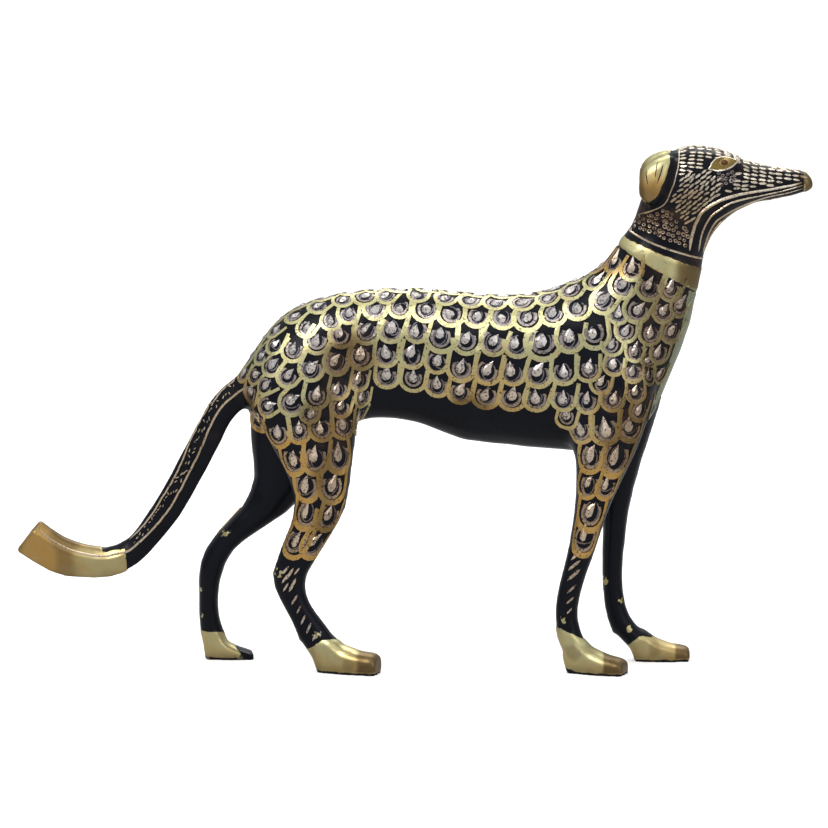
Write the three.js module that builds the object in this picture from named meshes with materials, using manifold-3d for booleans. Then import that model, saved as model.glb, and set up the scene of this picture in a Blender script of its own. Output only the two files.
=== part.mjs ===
// A cast brass hound standing on its four feet, with carved scales on its coat, a plain collar, folded ears and a
// curved tail cut off square. The casting is one solid piece. Lengths are in millimetres, +X runs forwards to the
// nose, +Y to the hound's left and +Z up. The origin is on the ground under the middle of the hound's box.

import * as THREE from "three";
import { mergeVertices } from "three/addons/utils/BufferGeometryUtils.js";
import Module from "manifold-3d";

const wasm = await Module();
wasm.setup();

// Driving dimensions
const OVERALL_LENGTH = 300;
const COLLAR_PROUD = 0.45;
const EYE_LENGTH = 12;
const EYE_HEIGHT = 6;
const EYE_SLANT = 21;
const LID_PROUD = 0.9;
const IRIS_PROUD = 1.3;
const IRIS_RADIUS = 1.9;
const EYE_ROOT = 4;
const MOUTH_BEAD = 0.7;
const SCALE_PITCH = 9.6;
const SCALE_CROWDING = 7;
const GOUGE_LENGTH = 5.2;
const GOUGE_WIDTH = 3.2;
const GOUGE_DEPTH = 0.8;
const SOLE_TRIM = 6;

// The figure's own proportions are shares of its overall length, in hundredths.
const SHARE = OVERALL_LENGTH / 100;
const RIGHT = -1;
const LEFT = 1;

// Trunk, neck and head in one run from the rump to the nose. Each rib goes from a point on the back to the point
// opposite on the belly, throat or chin: back x, back z, belly x, belly z, half width, and how much wider it is
// at the back than at the belly.
const TRUNK_RIBS = [
  [-22.3, 36.6, -21.6, 34, 1.4, 0],
  [-19.8, 40.5, -19.4, 30.4, 4.2, 0],
  [-16.5, 44.6, -15.2, 29.2, 5.4, 0.02],
  [-12, 46.8, -10.2, 29.8, 5.6, 0.05],
  [-6.2, 47.8, -5.2, 31.3, 5.1, 0.1],
  [-0.2, 48.1, 0.2, 30.8, 5.2, 0.12],
  [5.8, 47.6, 6.1, 28.6, 6.1, 0.14],
  [11.9, 47.2, 12.4, 27.9, 6.6, 0.15],
  [16.4, 47.8, 19, 27.3, 6.7, 0.12],
  [19.4, 48.9, 24.9, 27.6, 6.5, 0.1],
  [21.9, 50, 29.6, 31.4, 5.9, 0.06],
  [23.7, 51.4, 32.6, 37.8, 5.2, 0.02],
  [24.9, 52.9, 34.8, 43.8, 4.6, 0],
  [25.8, 54, 35.6, 48.4, 4.2, 0],
  [26.8, 55.4, 36.3, 51.6, 4.0, 0],
  [27.5, 57, 36.9, 53.7, 3.9, 0],
  [28.2, 59.1, 37.6, 55, 4.0, 0.03],
  [29.2, 61.9, 38.8, 56.4, 4.2, 0.08],
  [30.6, 64.2, 40.4, 57.7, 4.2, 0.12],
  [32.2, 65.5, 41.7, 58.3, 4.1, 0.15],
  [34.4, 66.2, 42.8, 58.8, 3.7, 0.18],
  [36.7, 66.1, 43.8, 59, 3.3, 0.2],
  [39, 65.5, 45, 59.1, 2.9, 0.2],
  [41.2, 64.4, 46.1, 59.4, 2.4, 0.18],
  [43.9, 63.7, 47.2, 59.6, 1.9, 0.15],
  [46.7, 63.3, 48.4, 59.9, 1.6, 0.1],
  [48.9, 63, 49.4, 60.3, 1.4, 0],
  [49.9, 61.9, 50, 60.7, 1.1, 0],
];
const COLLAR_LOW_RIB = 12.75;
const COLLAR_HIGH_RIB = 14.0;

// The eye's middle and the line of the mouth down to the collar, as x and z seen from the side.
const EYE_PLACE = [39.5, 63.7];
const MOUTH_LINE = [
  [48.4, 61.2],
  [46.0, 60.8],
  [42.3, 59.9],
  [39.6, 59.2],
  [37.6, 58.3],
  [36.5, 57.2],
  [35.8, 55.5],
  [35.2, 52.9],
];

// Legs from the hip or shoulder down to the ankle: rear x, rear z, front x, front z, middle y, half width.
const LEG_RIBS = {
  right_hind: [
    [-18.9, 40.5, -4, 42.8, -2.6, 2.9],
    [-20.6, 34.8, -5.4, 36.4, -3.5, 3.1],
    [-18.9, 29.9, -6.6, 31.3, -3.9, 3.0],
    [-16.7, 26.2, -7.2, 26.9, -4.1, 2.8],
    [-15, 21.6, -8.2, 20.9, -4.3, 2.4],
    [-16, 17.5, -10.3, 16.8, -4.4, 2.1],
    [-17.8, 12.5, -13, 12.4, -4.5, 1.9],
    [-17, 9.3, -13.1, 9.5, -4.5, 1.75],
    [-15.4, 6.2, -11.6, 7.0, -4.6, 1.7],
    [-13.8, 2.6, -9.7, 4.4, -4.9, 1.8],
    [-13, 0.2, -8.8, 1.2, -5.1, 1.7],
  ],
  left_hind: [
    [-18.1, 40.5, -3.1, 42.4, 2.6, 2.9],
    [-20.8, 34.0, -5.9, 34.8, 3.5, 3.1],
    [-21, 27.8, -9.4, 27.8, 3.9, 2.8],
    [-20.5, 23.4, -12.2, 23.0, 4.1, 2.5],
    [-22, 19.6, -16.1, 18.6, 4.3, 2.2],
    [-25.4, 15.9, -21.3, 15.1, 4.4, 1.9],
    [-27.3, 12.3, -23.7, 12.2, 4.5, 1.8],
    [-27.5, 7.6, -24.7, 7.6, 4.5, 1.7],
    [-27.3, 3.6, -24.1, 3.7, 4.5, 1.7],
    [-26.8, 0.4, -23.3, 0.8, 4.6, 1.6],
  ],
  right_fore: [
    [16, 43.3, 27.6, 45.0, -3.0, 3.2],
    [17.5, 36.4, 30.7, 37.2, -3.7, 3.3],
    [18.7, 31.3, 29.7, 31.9, -3.9, 3.0],
    [20, 27.2, 27.7, 26.7, -4.1, 2.7],
    [20.2, 22.5, 25.3, 21.9, -4.3, 2.2],
    [19.4, 16.2, 23.2, 15.9, -4.4, 1.9],
    [18, 10.3, 21.3, 10.3, -4.5, 1.7],
    [17.7, 7.0, 20.9, 6.7, -4.5, 1.65],
    [18.2, 3.4, 21.8, 4.0, -4.7, 1.7],
    [19, 0.3, 22.8, 0.9, -4.8, 1.6],
  ],
  left_fore: [
    [16.9, 42.6, 28.4, 44.4, 3.0, 3.2],
    [19, 35.6, 31.6, 36.2, 3.7, 3.3],
    [21.1, 29.9, 30.4, 30.2, 3.9, 2.9],
    [22.9, 25.0, 28.7, 25.0, 4.1, 2.5],
    [23.5, 19.6, 27.3, 19.6, 4.3, 2.0],
    [23.5, 13.9, 26.6, 13.9, 4.4, 1.75],
    [23.6, 8.9, 26.5, 8.9, 4.5, 1.65],
    [24.2, 5.2, 27.5, 5.5, 4.5, 1.65],
    [25.8, 2.0, 29.4, 3.2, 4.6, 1.8],
    [26.9, 0.2, 30.7, 0.9, 4.7, 1.6],
  ],
};

// Feet: heel and ankle heights, and how far the toes turn outwards from the hound's own middle line.
const FEET = {
  right_hind: { heel: [-13.1, -4.5], length: 9.2, ankle: 5.2, instep: 3.2, toe: 2.5, half: 1.9, turn: -15 },
  left_hind: { heel: [-27.0, 4.5], length: 6.6, ankle: 4.0, instep: 2.0, toe: 0.9, half: 1.9, turn: 5 },
  right_fore: { heel: [18.3, -4.2], length: 8.7, ankle: 5.0, instep: 3.0, toe: 1.9, half: 1.9, turn: -15 },
  left_fore: { heel: [26.2, 4.5], length: 8.6, ankle: 4.2, instep: 2.6, toe: 1.7, half: 2.0, turn: 4 },
};

// Tail from the rump to its cut end: upper x, upper z, lower x, lower z, half width, and the height of the side
// ridge, from -1 at the lower edge to 1 at the upper.
const TAIL_RIBS = [
  [-18.6, 40.2, -17.8, 34.2, 1.9, 0.1],
  [-22.0, 37.1, -21.0, 32.8, 1.6, 0.1],
  [-24.6, 34.9, -22.9, 30.9, 1.5, 0.1],
  [-26.3, 32.6, -24.0, 28.6, 1.5, 0.05],
  [-28.8, 27.9, -26.5, 23.8, 1.5, 0],
  [-31.8, 22.3, -29.4, 18.8, 1.5, 0],
  [-33.9, 19, -31.8, 15.8, 1.5, 0],
  [-36.1, 16.1, -34.7, 12.7, 1.6, 0.05],
  [-38.6, 15, -38.3, 11.2, 1.6, 0.15],
  [-41.3, 15.2, -42.1, 11.1, 1.7, 0.3],
  [-44.1, 16.2, -45.7, 11.8, 1.7, 0.4],
  [-47.1, 18.3, -50.1, 14.5, 1.8, 0.4],
];

// Ear, folded back against the head: rear x, rear z, front x, front z, distance from the middle, half width.
const EAR_RIBS = [
  [31.2, 65.7, 32.8, 66.1, 2.9, 0.6],
  [29.6, 64.9, 32.9, 65.2, 3.4, 1.0],
  [28.4, 63.3, 32.6, 62.9, 3.8, 1.2],
  [28.0, 61.4, 32.0, 61.0, 3.9, 1.3],
  [28.3, 59.7, 31.1, 59.5, 3.8, 1.2],
  [29.1, 58.8, 30.1, 58.7, 3.7, 0.7],
];

// Rows of scales along the coat, as angles from the back on the body and further apart on the neck. The angles
// change over between two ribs.
const COAT_ROWS = [
  { body: 0, neck: 0 },
  { body: 24, neck: 31 },
  { body: 44, neck: 60 },
  { body: 65, neck: 87 },
  { body: 86, neck: 112 },
  { body: 106, neck: 133 },
];
const NECK_STARTS = 8.5;
const NECK_IS_FULL = 12;
const COAT_RUMP_RIB = 0.8;

// How far the scales lean towards the head, in degrees, at ribs from the rump to the collar.
const LEAN = [[0.8, 60], [2, 34], [3.5, 10], [5, 4], [9, 4], [11, 16], [12.75, 30]];

// Rows of longer scales down the legs, as heights in hundredths of the length, with the number in each row.
const LEG_SCALE_ROWS = {
  hind: [[34.4, 4], [30.9, 4], [27.4, 3], [23.8, 2], [20.2, 2], [16.6, 2]],
  fore: [[34.6, 3], [31.2, 3], [27.6, 2], [24.0, 2], [20.6, 1], [17.4, 1]],
};

const brass = new THREE.MeshStandardMaterial({ color: 0xb3945a, roughness: 0.35, metalness: 1 });

// A section's outline as points of [from the middle to the upper edge, from the middle sideways].
function roundSection(count, power = 2) {
  const points = [];
  for (let i = 0; i < count; i++) {
    const angle = (2 * Math.PI * i) / count;
    const up = Math.cos(angle);
    const side = Math.sin(angle);
    points.push([
      Math.sign(up) * Math.abs(up) ** (2 / power),
      Math.sign(side) * Math.abs(side) ** (2 / power),
    ]);
  }
  return points;
}

// A bar's section with a narrow flat on top and a ridge along each side.
function ridgedSection(ridge) {
  const top = 0.38;
  const under = 0.5;
  return [
    [1, -top],
    [1, top],
    [ridge, 1],
    [-1, under],
    [-1, -under],
    [ridge, -1],
  ];
}

// The rib at a share of the way along a run of ribs, smoothly between them.
class RibRun {
  constructor(rows) {
    const curve = (pick) => new THREE.CatmullRomCurve3(rows.map(pick), false, "catmullrom", 0.5);
    this.last = rows.length - 1;
    this.upper = curve(([x, z]) => new THREE.Vector3(x, 0, z).multiplyScalar(SHARE));
    this.lower = curve(([, , x, z]) => new THREE.Vector3(x, 0, z).multiplyScalar(SHARE));
    this.extra = curve(([, , , , p, q]) => new THREE.Vector3(p, q, 0));
  }

  at(index) {
    const t = THREE.MathUtils.clamp(index / this.last, 0, 1);
    const upper = this.upper.getPoint(t);
    const lower = this.lower.getPoint(t);
    const middle = upper.clone().add(lower).multiplyScalar(0.5);
    const reach = upper.clone().sub(lower).multiplyScalar(0.5);
    const { x: first, y: second } = this.extra.getPoint(t);
    return { middle, reach, first, second };
  }
}

// The closed skin over a row of rings of points, with a fan over each end.
function skin(rings) {
  const around = rings[0].length;
  const positions = [];
  const faces = [];
  for (const ring of rings) {
    for (const p of ring) positions.push(p.x, p.y, p.z);
  }
  for (let r = 0; r + 1 < rings.length; r++) {
    for (let i = 0; i < around; i++) {
      const j = (i + 1) % around;
      const a = r * around;
      const b = a + around;
      faces.push(a + i, b + i, a + j, a + j, b + i, b + j);
    }
  }
  [0, rings.length - 1].forEach((r) => {
    const centre = new THREE.Vector3();
    for (const p of rings[r]) centre.addScaledVector(p, 1 / around);
    const hub = positions.length / 3;
    positions.push(centre.x, centre.y, centre.z);
    for (let i = 0; i < around; i++) {
      const j = (i + 1) % around;
      const a = r * around;
      if (r === 0) faces.push(hub, a + i, a + j);
      else faces.push(hub, a + j, a + i);
    }
  });
  const geometry = new THREE.BufferGeometry();
  geometry.setAttribute("position", new THREE.Float32BufferAttribute(positions, 3));
  geometry.setIndex(faces);
  return geometry;
}

// A geometry as a solid with its faces pointing out.
function solidOf(geometry) {
  const bare = geometry.clone();
  bare.deleteAttribute("normal");
  bare.deleteAttribute("uv");
  const merged = mergeVertices(bare, 1e-5);
  const vertProperties = new Float32Array(merged.attributes.position.array);
  const triVerts = new Uint32Array(merged.index.array);
  const solid = new wasm.Manifold(new wasm.Mesh({ numProp: 3, vertProperties, triVerts }));
  if (solid.volume() > 0) return solid;
  for (let i = 0; i < triVerts.length; i += 3) {
    [triVerts[i + 1], triVerts[i + 2]] = [triVerts[i + 2], triVerts[i + 1]];
  }
  return new wasm.Manifold(new wasm.Mesh({ numProp: 3, vertProperties, triVerts }));
}

function geometryOf(solid) {
  const mesh = solid.getMesh();
  const geometry = new THREE.BufferGeometry();
  geometry.setAttribute("position", new THREE.Float32BufferAttribute(mesh.vertProperties, 3));
  geometry.setIndex(new THREE.BufferAttribute(new Uint32Array(mesh.triVerts), 1));
  return geometry;
}

const trunkRun = new RibRun(TRUNK_RIBS);

// A ring of the trunk at a rib index, grown outwards by a margin.
function trunkRing(index, section, margin = 0) {
  const { middle, reach, first: half, second: taper } = trunkRun.at(index);
  const height = reach.length();
  return section.map(([up, side]) => {
    const p = middle.clone().addScaledVector(reach, (up * (height + margin)) / height);
    p.y += side * (half * SHARE + margin) * (1 + taper * up);
    return p;
  });
}

function trunk() {
  const section = roundSection(20, 2.15);
  const rings = [];
  for (let i = 0; i < trunkRun.last; i++) {
    const steps = i < 12 ? 2 : 1;
    for (let s = 0; s < steps; s++) rings.push(trunkRing(i + s / steps, section));
  }
  rings.push(trunkRing(trunkRun.last, section));
  return solidOf(skin(rings));
}

function collar() {
  const section = roundSection(20, 2.15);
  const rings = [COLLAR_LOW_RIB, (COLLAR_LOW_RIB + COLLAR_HIGH_RIB) / 2, COLLAR_HIGH_RIB].map((index) =>
    trunkRing(index, section, COLLAR_PROUD),
  );
  return solidOf(skin(rings));
}

function leg(name) {
  const run = new RibRun(LEG_RIBS[name]);
  const section = roundSection(10, 2.3);
  const rings = [];
  for (let index = 0; index <= run.last; index += 0.5) {
    const { middle, reach, first: sideways, second: half } = run.at(index);
    rings.push(
      section.map(([up, side]) => {
        const p = middle.clone().addScaledVector(reach, up);
        p.y += (sideways + side * half) * SHARE;
        return p;
      }),
    );
  }
  return solidOf(skin(rings));
}

// A foot from its heel to its square toe. The section is full below and bevelled above.
function foot(name) {
  const { heel, length, ankle, instep, toe, half, turn } = FEET[name];
  const stations = [
    [0, ankle * 0.45, 0.62],
    [0.12, ankle * 0.85, 0.82],
    [0.3, ankle, 0.92],
    [0.48, instep * 1.12, 0.97],
    [0.72, (instep + toe) / 2, 1.04],
    [0.94, toe * 1.05, 1],
    [1, toe * 0.85, 0.9],
  ];
  const below = SOLE_TRIM / 2 / SHARE;
  const outline = [[-1, -1], [-1, 1], [0.35, 1], [0.8, 0.72], [1, 0.3], [1, -0.3], [0.8, -0.72], [0.35, -1]];
  const angle = THREE.MathUtils.degToRad(turn);
  const rings = stations.map(([along, top, wide]) =>
    outline.map(([up, side]) => {
      const height = up < 0 ? -below : top * (up * 0.5 + 0.5);
      return new THREE.Vector3(along * length, side * half * wide, height)
        .applyAxisAngle(new THREE.Vector3(0, 0, 1), angle)
        .add(new THREE.Vector3(heel[0], heel[1], 0))
        .multiplyScalar(SHARE);
    }),
  );
  return solidOf(skin(rings));
}

function tail() {
  const run = new RibRun(TAIL_RIBS);
  const rings = [];
  for (let index = 0; index <= run.last; index += 0.5) {
    const { middle, reach, first: half, second: ridge } = run.at(index);
    rings.push(
      ridgedSection(ridge).map(([up, side]) => {
        const p = middle.clone().addScaledVector(reach, up);
        p.y += side * half * SHARE;
        return p;
      }),
    );
  }
  return solidOf(skin(rings));
}

function ear(side) {
  const run = new RibRun(EAR_RIBS);
  const section = roundSection(8, 2);
  const rings = [];
  for (let index = 0; index <= run.last; index += 0.5) {
    const { middle, reach, first: out, second: half } = run.at(index);
    rings.push(
      section.map(([up, across]) => {
        const p = middle.clone().addScaledVector(reach, up);
        p.y += side * (out + across * half) * SHARE;
        return p;
      }),
    );
  }
  return solidOf(skin(rings));
}

// Finds where a line from outside first meets a solid's surface, with the way the surface faces there.
class Surface {
  constructor(solid) {
    const geometry = geometryOf(solid).toNonIndexed();
    geometry.computeVertexNormals();
    this.mesh = new THREE.Mesh(geometry, new THREE.MeshBasicMaterial({ side: THREE.DoubleSide }));
    this.caster = new THREE.Raycaster();
  }

  towards(inner, direction) {
    const out = direction.clone().normalize();
    this.caster.set(inner.clone().addScaledVector(out, OVERALL_LENGTH), out.clone().negate());
    const hit = this.caster.intersectObject(this.mesh)[0];
    return hit && { point: hit.point, normal: hit.face.normal.clone() };
  }
}

const body = wasm.Manifold.union([
  trunk(),
  collar(),
  ...Object.keys(LEG_RIBS).map(leg),
  ...Object.keys(FEET).map(foot),
  tail(),
  ear(RIGHT),
  ear(LEFT),
]);

const surface = new Surface(body);
// The trunk's surface at a rib index and an angle from the back, on one side.
function coatPoint(surface, index, degrees, side) {
  const { middle, reach, first: half } = trunkRun.at(index);
  const angle = THREE.MathUtils.degToRad(degrees);
  const way = reach.clone().multiplyScalar(Math.cos(angle));
  way.y += side * Math.sin(angle) * half * SHARE;
  return surface.towards(middle, way);
}

// The way a scale hangs at a rib index: down, leaning back from the head, and out from the spine.
function hang(index) {
  const next = LEAN.findIndex(([rib]) => rib >= index);
  const [ribA, leanA] = LEAN[Math.max(next - 1, 0)];
  const [ribB, leanB] = LEAN[Math.max(next, 1)];
  const lean = THREE.MathUtils.degToRad(THREE.MathUtils.mapLinear(index, ribA, ribB, leanA, leanB));
  return new THREE.Vector3(-Math.sin(lean) - 0.1, 0, -Math.cos(lean));
}

// The middles of one row of scales along the coat, a pitch apart, from the collar back to the rump.
function coatRow({ body, neck }, side, start) {
  const places = [];
  const step = 0.04;
  let last;
  let travelled = start;
  for (let index = COLLAR_LOW_RIB; index > COAT_RUMP_RIB; index -= step) {
    const onNeck = THREE.MathUtils.smoothstep(index, NECK_STARTS, NECK_IS_FULL);
    const here = coatPoint(surface, index, THREE.MathUtils.lerp(body, neck, onNeck), side);
    if (last) travelled += here.point.distanceTo(last);
    last = here.point;
    if (travelled < SCALE_PITCH) continue;
    travelled -= SCALE_PITCH;
    places.push({ ...here, down: hang(index) });
  }
  return places;
}

// The point of a leg's outer side at a height and a share of the way from its rear to its front edge.
function legPoint(name, height, share) {
  const run = new RibRun(LEG_RIBS[name]);
  const side = name.startsWith("right") ? RIGHT : LEFT;
  let index = 0;
  while (index < run.last && run.at(index).middle.z > height * SHARE) index += 0.02;
  const { middle, reach, first: sideways } = run.at(index);
  const inner = middle.clone().addScaledVector(reach, 1 - 2 * share);
  inner.y = sideways * SHARE;
  const below = run.at(Math.min(index + 0.5, run.last)).middle;
  const down = below.sub(middle).normalize();
  return { ...surface.towards(inner, new THREE.Vector3(0, side, 0)), down };
}

function legScales(name) {
  const rows = LEG_SCALE_ROWS[name.endsWith("hind") ? "hind" : "fore"];
  return rows.flatMap(([height, count]) =>
    Array.from({ length: count }, (_, i) => legPoint(name, height, (i + 0.7) / (count + 0.4))),
  );
}

// Every scale's middle: the rows of the coat, staggered, then those down the legs, leaving out any that crowd
// one already there.
function scalePlaces() {
  const rows = COAT_ROWS.flatMap((row, number) => {
    const start = SCALE_PITCH * (number % 2 ? 0.35 : 0.85);
    const sides = row.body === 0 ? [LEFT] : [RIGHT, LEFT];
    return sides.map((side) => coatRow(row, side, start));
  });
  const candidates = [...rows.flat(), ...Object.keys(LEG_RIBS).flatMap(legScales)];
  const kept = [];
  for (const place of candidates) {
    if (kept.every((other) => other.point.distanceTo(place.point) > SCALE_CROWDING)) kept.push(place);
  }
  return kept;
}

// Stands a shape made round Y, with its top towards Z, on the surface at a place and sinks it by a depth.
function setOn(geometry, place, depth) {
  const out = place.normal;
  const up = place.down.clone().addScaledVector(out, -place.down.dot(out)).normalize().negate();
  const across = new THREE.Vector3().crossVectors(out, up);
  const basis = new THREE.Matrix4().makeBasis(across, out, up);
  basis.setPosition(place.point.clone().addScaledVector(out, -depth));
  geometry.applyMatrix4(basis);
  return solidOf(geometry);
}

// The cutter for one chisel gouge: a three-sided spike that leaves a drop, pointed at the top.
function gouge(place, length, width, depth) {
  const proud = 0.6;
  const grow = (depth + proud) / depth;
  const spike = new THREE.ConeGeometry(1, 1, 3, 1);
  spike.translate(0, -0.5, 0);
  spike.rotateZ(Math.PI);
  spike.scale((width / Math.sqrt(3)) * grow, depth + proud, (length / 1.5) * grow);
  return setOn(spike, place, depth);
}

// The point of a surface seen from one side at a place given in shares of the length.
function sidePoint([x, z], side) {
  const inner = new THREE.Vector3(x, 0, z).multiplyScalar(SHARE);
  return surface.towards(inner, new THREE.Vector3(0, side, 0));
}

// The almond of one eye with its raised iris, rising towards the nose.
function eye(side) {
  const slant = THREE.MathUtils.degToRad(EYE_SLANT);
  const down = new THREE.Vector3(Math.sin(slant), 0, -Math.cos(slant));
  const place = { ...sidePoint(EYE_PLACE, side), down };
  const almond = new THREE.Shape();
  almond.moveTo(-EYE_LENGTH / 2, 0);
  almond.quadraticCurveTo(0, EYE_HEIGHT, EYE_LENGTH / 2, 0);
  almond.quadraticCurveTo(0, -EYE_HEIGHT, -EYE_LENGTH / 2, 0);
  const lid = new THREE.ExtrudeGeometry(almond, { depth: EYE_ROOT, bevelEnabled: false, curveSegments: 6 });
  lid.rotateX(-Math.PI / 2);
  const iris = new THREE.CylinderGeometry(IRIS_RADIUS, IRIS_RADIUS, EYE_ROOT, 12);
  iris.translate(0, EYE_ROOT / 2, 0);
  return [setOn(lid, place, EYE_ROOT - LID_PROUD), setOn(iris, place, EYE_ROOT - IRIS_PROUD)];
}

// A bead laid over the surface along points seen from the side.
function bead(points, side, radius) {
  const path = new THREE.CatmullRomCurve3(points.map((at) => sidePoint(at, side).point));
  const steps = 2 * points.length;
  const { normals, binormals } = path.computeFrenetFrames(steps);
  const section = roundSection(4);
  const rings = normals.map((normal, i) =>
    section.map(([up, across]) =>
      path
        .getPointAt(i / steps)
        .addScaledVector(normal, up * radius)
        .addScaledVector(binormals[i], across * radius),
    ),
  );
  return solidOf(skin(rings));
}

const figure = wasm.Manifold.union([
  body,
  ...[RIGHT, LEFT].flatMap(eye),
  ...[RIGHT, LEFT].map((side) => bead(MOUTH_LINE, side, MOUTH_BEAD)),
]);
const gouges = scalePlaces().map((place) => gouge(place, GOUGE_LENGTH, GOUGE_WIDTH, GOUGE_DEPTH));

// What reaches under the ground is filed off flat.
const underground = new THREE.BoxGeometry(2 * OVERALL_LENGTH, OVERALL_LENGTH, SOLE_TRIM);
underground.translate(0, 0, -SOLE_TRIM / 2);
const carved = figure.subtract(wasm.Manifold.union(gouges)).subtract(solidOf(underground));

const hound = new THREE.Mesh(geometryOf(carved), brass);
hound.name = "hound";
hound.geometry.computeBoundingBox();
const { min, max } = hound.geometry.boundingBox;
hound.geometry.translate(-(min.x + max.x) / 2, -(min.y + max.y) / 2, -min.z);
hound.geometry.computeVertexNormals();

const part = new THREE.Group();
part.add(hound);

export default part;
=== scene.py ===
"""A brass hound, sand cast in one piece, its coat cut with a chisel, filled with black lacquer and polished.

Sizes inside the classes are millimetres. X runs forwards to the nose, Y to the hound's left and Z up.
"""

import logging
import math
import random
from collections.abc import Callable, Iterable, Sequence
from dataclasses import dataclass, field, replace
from enum import Enum

import bpy
from mathutils import Matrix, Vector, noise
from mathutils.bvhtree import BVHTree


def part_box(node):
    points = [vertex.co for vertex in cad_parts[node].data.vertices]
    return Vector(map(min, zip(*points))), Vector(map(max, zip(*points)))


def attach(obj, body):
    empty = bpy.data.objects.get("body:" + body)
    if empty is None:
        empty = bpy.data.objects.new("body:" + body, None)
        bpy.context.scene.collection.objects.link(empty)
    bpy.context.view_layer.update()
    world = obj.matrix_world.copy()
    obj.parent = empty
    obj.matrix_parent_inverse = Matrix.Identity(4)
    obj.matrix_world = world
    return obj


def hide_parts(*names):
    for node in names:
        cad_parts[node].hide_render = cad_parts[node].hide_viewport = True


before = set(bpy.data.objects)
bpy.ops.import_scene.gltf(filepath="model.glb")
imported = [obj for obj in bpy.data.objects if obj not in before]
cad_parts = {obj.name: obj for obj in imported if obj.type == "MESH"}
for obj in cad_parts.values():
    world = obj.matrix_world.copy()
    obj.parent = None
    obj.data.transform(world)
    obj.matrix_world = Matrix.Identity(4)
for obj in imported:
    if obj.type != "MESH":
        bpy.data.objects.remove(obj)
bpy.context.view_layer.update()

MM = 0.001
SEED = 1907
LOG = logging.getLogger("hound")

Outline = Sequence[tuple[float, float]]
Colour = tuple[float, float, float, float]


class Side(Enum):
    """One flank of the hound, as the sign of Y that points out of it."""

    RIGHT = -1
    LEFT = 1


# Small tools


def linear(code: str) -> Colour:
    """Turns an sRGB hex colour into linear light.

    Args:
        code: Six hex digits, such as "c9c17a".

    Returns:
        Red, green, blue and full alpha.
    """
    channels = [int(code[i : i + 2], 16) / 255 for i in (0, 2, 4)]
    light = [c / 12.92 if c <= 0.04045 else ((c + 0.055) / 1.055) ** 2.4 for c in channels]
    return (*light, 1.0)


def smoothstep(low: float, high: float, value: float) -> float:
    """Rises smoothly from 0 at low to 1 at high, or falls where low is above high."""
    t = min(max((value - low) / (high - low), 0.0), 1.0)
    return t * t * (3 - 2 * t)


def select_only(*objects: bpy.types.Object) -> None:
    """Leaves object mode's selection as these objects, with the first one active.

    Args:
        objects: What to select. With none, everything is deselected.
    """
    if bpy.context.object is not None and bpy.context.object.mode != "OBJECT":
        bpy.ops.object.mode_set(mode="OBJECT")
    bpy.ops.object.select_all(action="DESELECT")
    for item in objects:
        item.select_set(True)
    bpy.context.view_layer.objects.active = objects[0] if objects else None


def edit_all() -> None:
    """Takes the active mesh into edit mode with all of it selected."""
    bpy.ops.object.mode_set(mode="EDIT")
    bpy.ops.mesh.select_all(action="SELECT")


def pick_vertices(test: Callable[[Vector], bool]) -> None:
    """Selects the edited mesh's vertices that pass a test, and stays in edit mode.

    Args:
        test: Takes a vertex's place and says whether to select it.
    """
    bpy.ops.mesh.select_mode(type="VERT")
    bpy.ops.mesh.select_all(action="DESELECT")
    bpy.ops.object.mode_set(mode="OBJECT")
    for vertex in bpy.context.object.data.vertices:
        vertex.select = test(vertex.co)
    bpy.ops.object.mode_set(mode="EDIT")


def apply_modifier(obj: bpy.types.Object, kind: str, **settings: object) -> None:
    """Adds a modifier to an object with its settings and applies it.

    Args:
        obj: The object to shape.
        kind: Blender's name for the modifier's type.
        settings: The modifier's properties.
    """
    select_only(obj)
    modifier = obj.modifiers.new(kind.title(), kind)
    for name, value in settings.items():
        setattr(modifier, name, value)
    bpy.ops.object.modifier_apply(modifier=modifier.name)


def join(parts: Sequence[bpy.types.Object], name: str) -> bpy.types.Object:
    """Joins mesh objects into one.

    Args:
        parts: The objects, of which the first one keeps its place.
        name: The joined object's name.

    Returns:
        The joined object.
    """
    select_only(*parts)
    if len(parts) > 1:
        bpy.ops.object.join()
    parts[0].name = name
    parts[0].data.name = name
    return parts[0]


def side_distance(outline: Outline, x: float, z: float) -> float:
    """Measures how far inside a closed outline a point lies, seen from the side.

    Args:
        outline: The outline's corners.
        x: The point's x.
        z: The point's z.

    Returns:
        The distance to the outline, positive inside and negative outside.
    """
    point = Vector((x, z))
    nearest = math.inf
    inside = False
    for (ax, az), (bx, bz) in zip(outline, [*outline[1:], outline[0]]):
        a, b = Vector((ax, az)), Vector((bx, bz))
        along = (point - a).dot(b - a) / (b - a).length_squared
        nearest = min(nearest, (point - a.lerp(b, min(max(along, 0.0), 1.0))).length)
        if (az > z) != (bz > z) and x < ax + (z - az) * (bx - ax) / (bz - az):
            inside = not inside
    return nearest if inside else -nearest


def along(points: Outline, share: float) -> tuple[float, float]:
    """Finds the point a share of the way along a line of straight runs.

    Args:
        points: The line's corners.
        share: From 0 at the start to 1 at the end.

    Returns:
        The point's two coordinates.
    """
    lengths = [math.dist(a, b) for a, b in zip(points, points[1:])]
    left = share * sum(lengths)
    for (a, b), length in zip(zip(points, points[1:]), lengths):
        if left <= length:
            t = left / length
            return a[0] + t * (b[0] - a[0]), a[1] + t * (b[1] - a[1])
        left -= length
    return points[-1]


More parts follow.
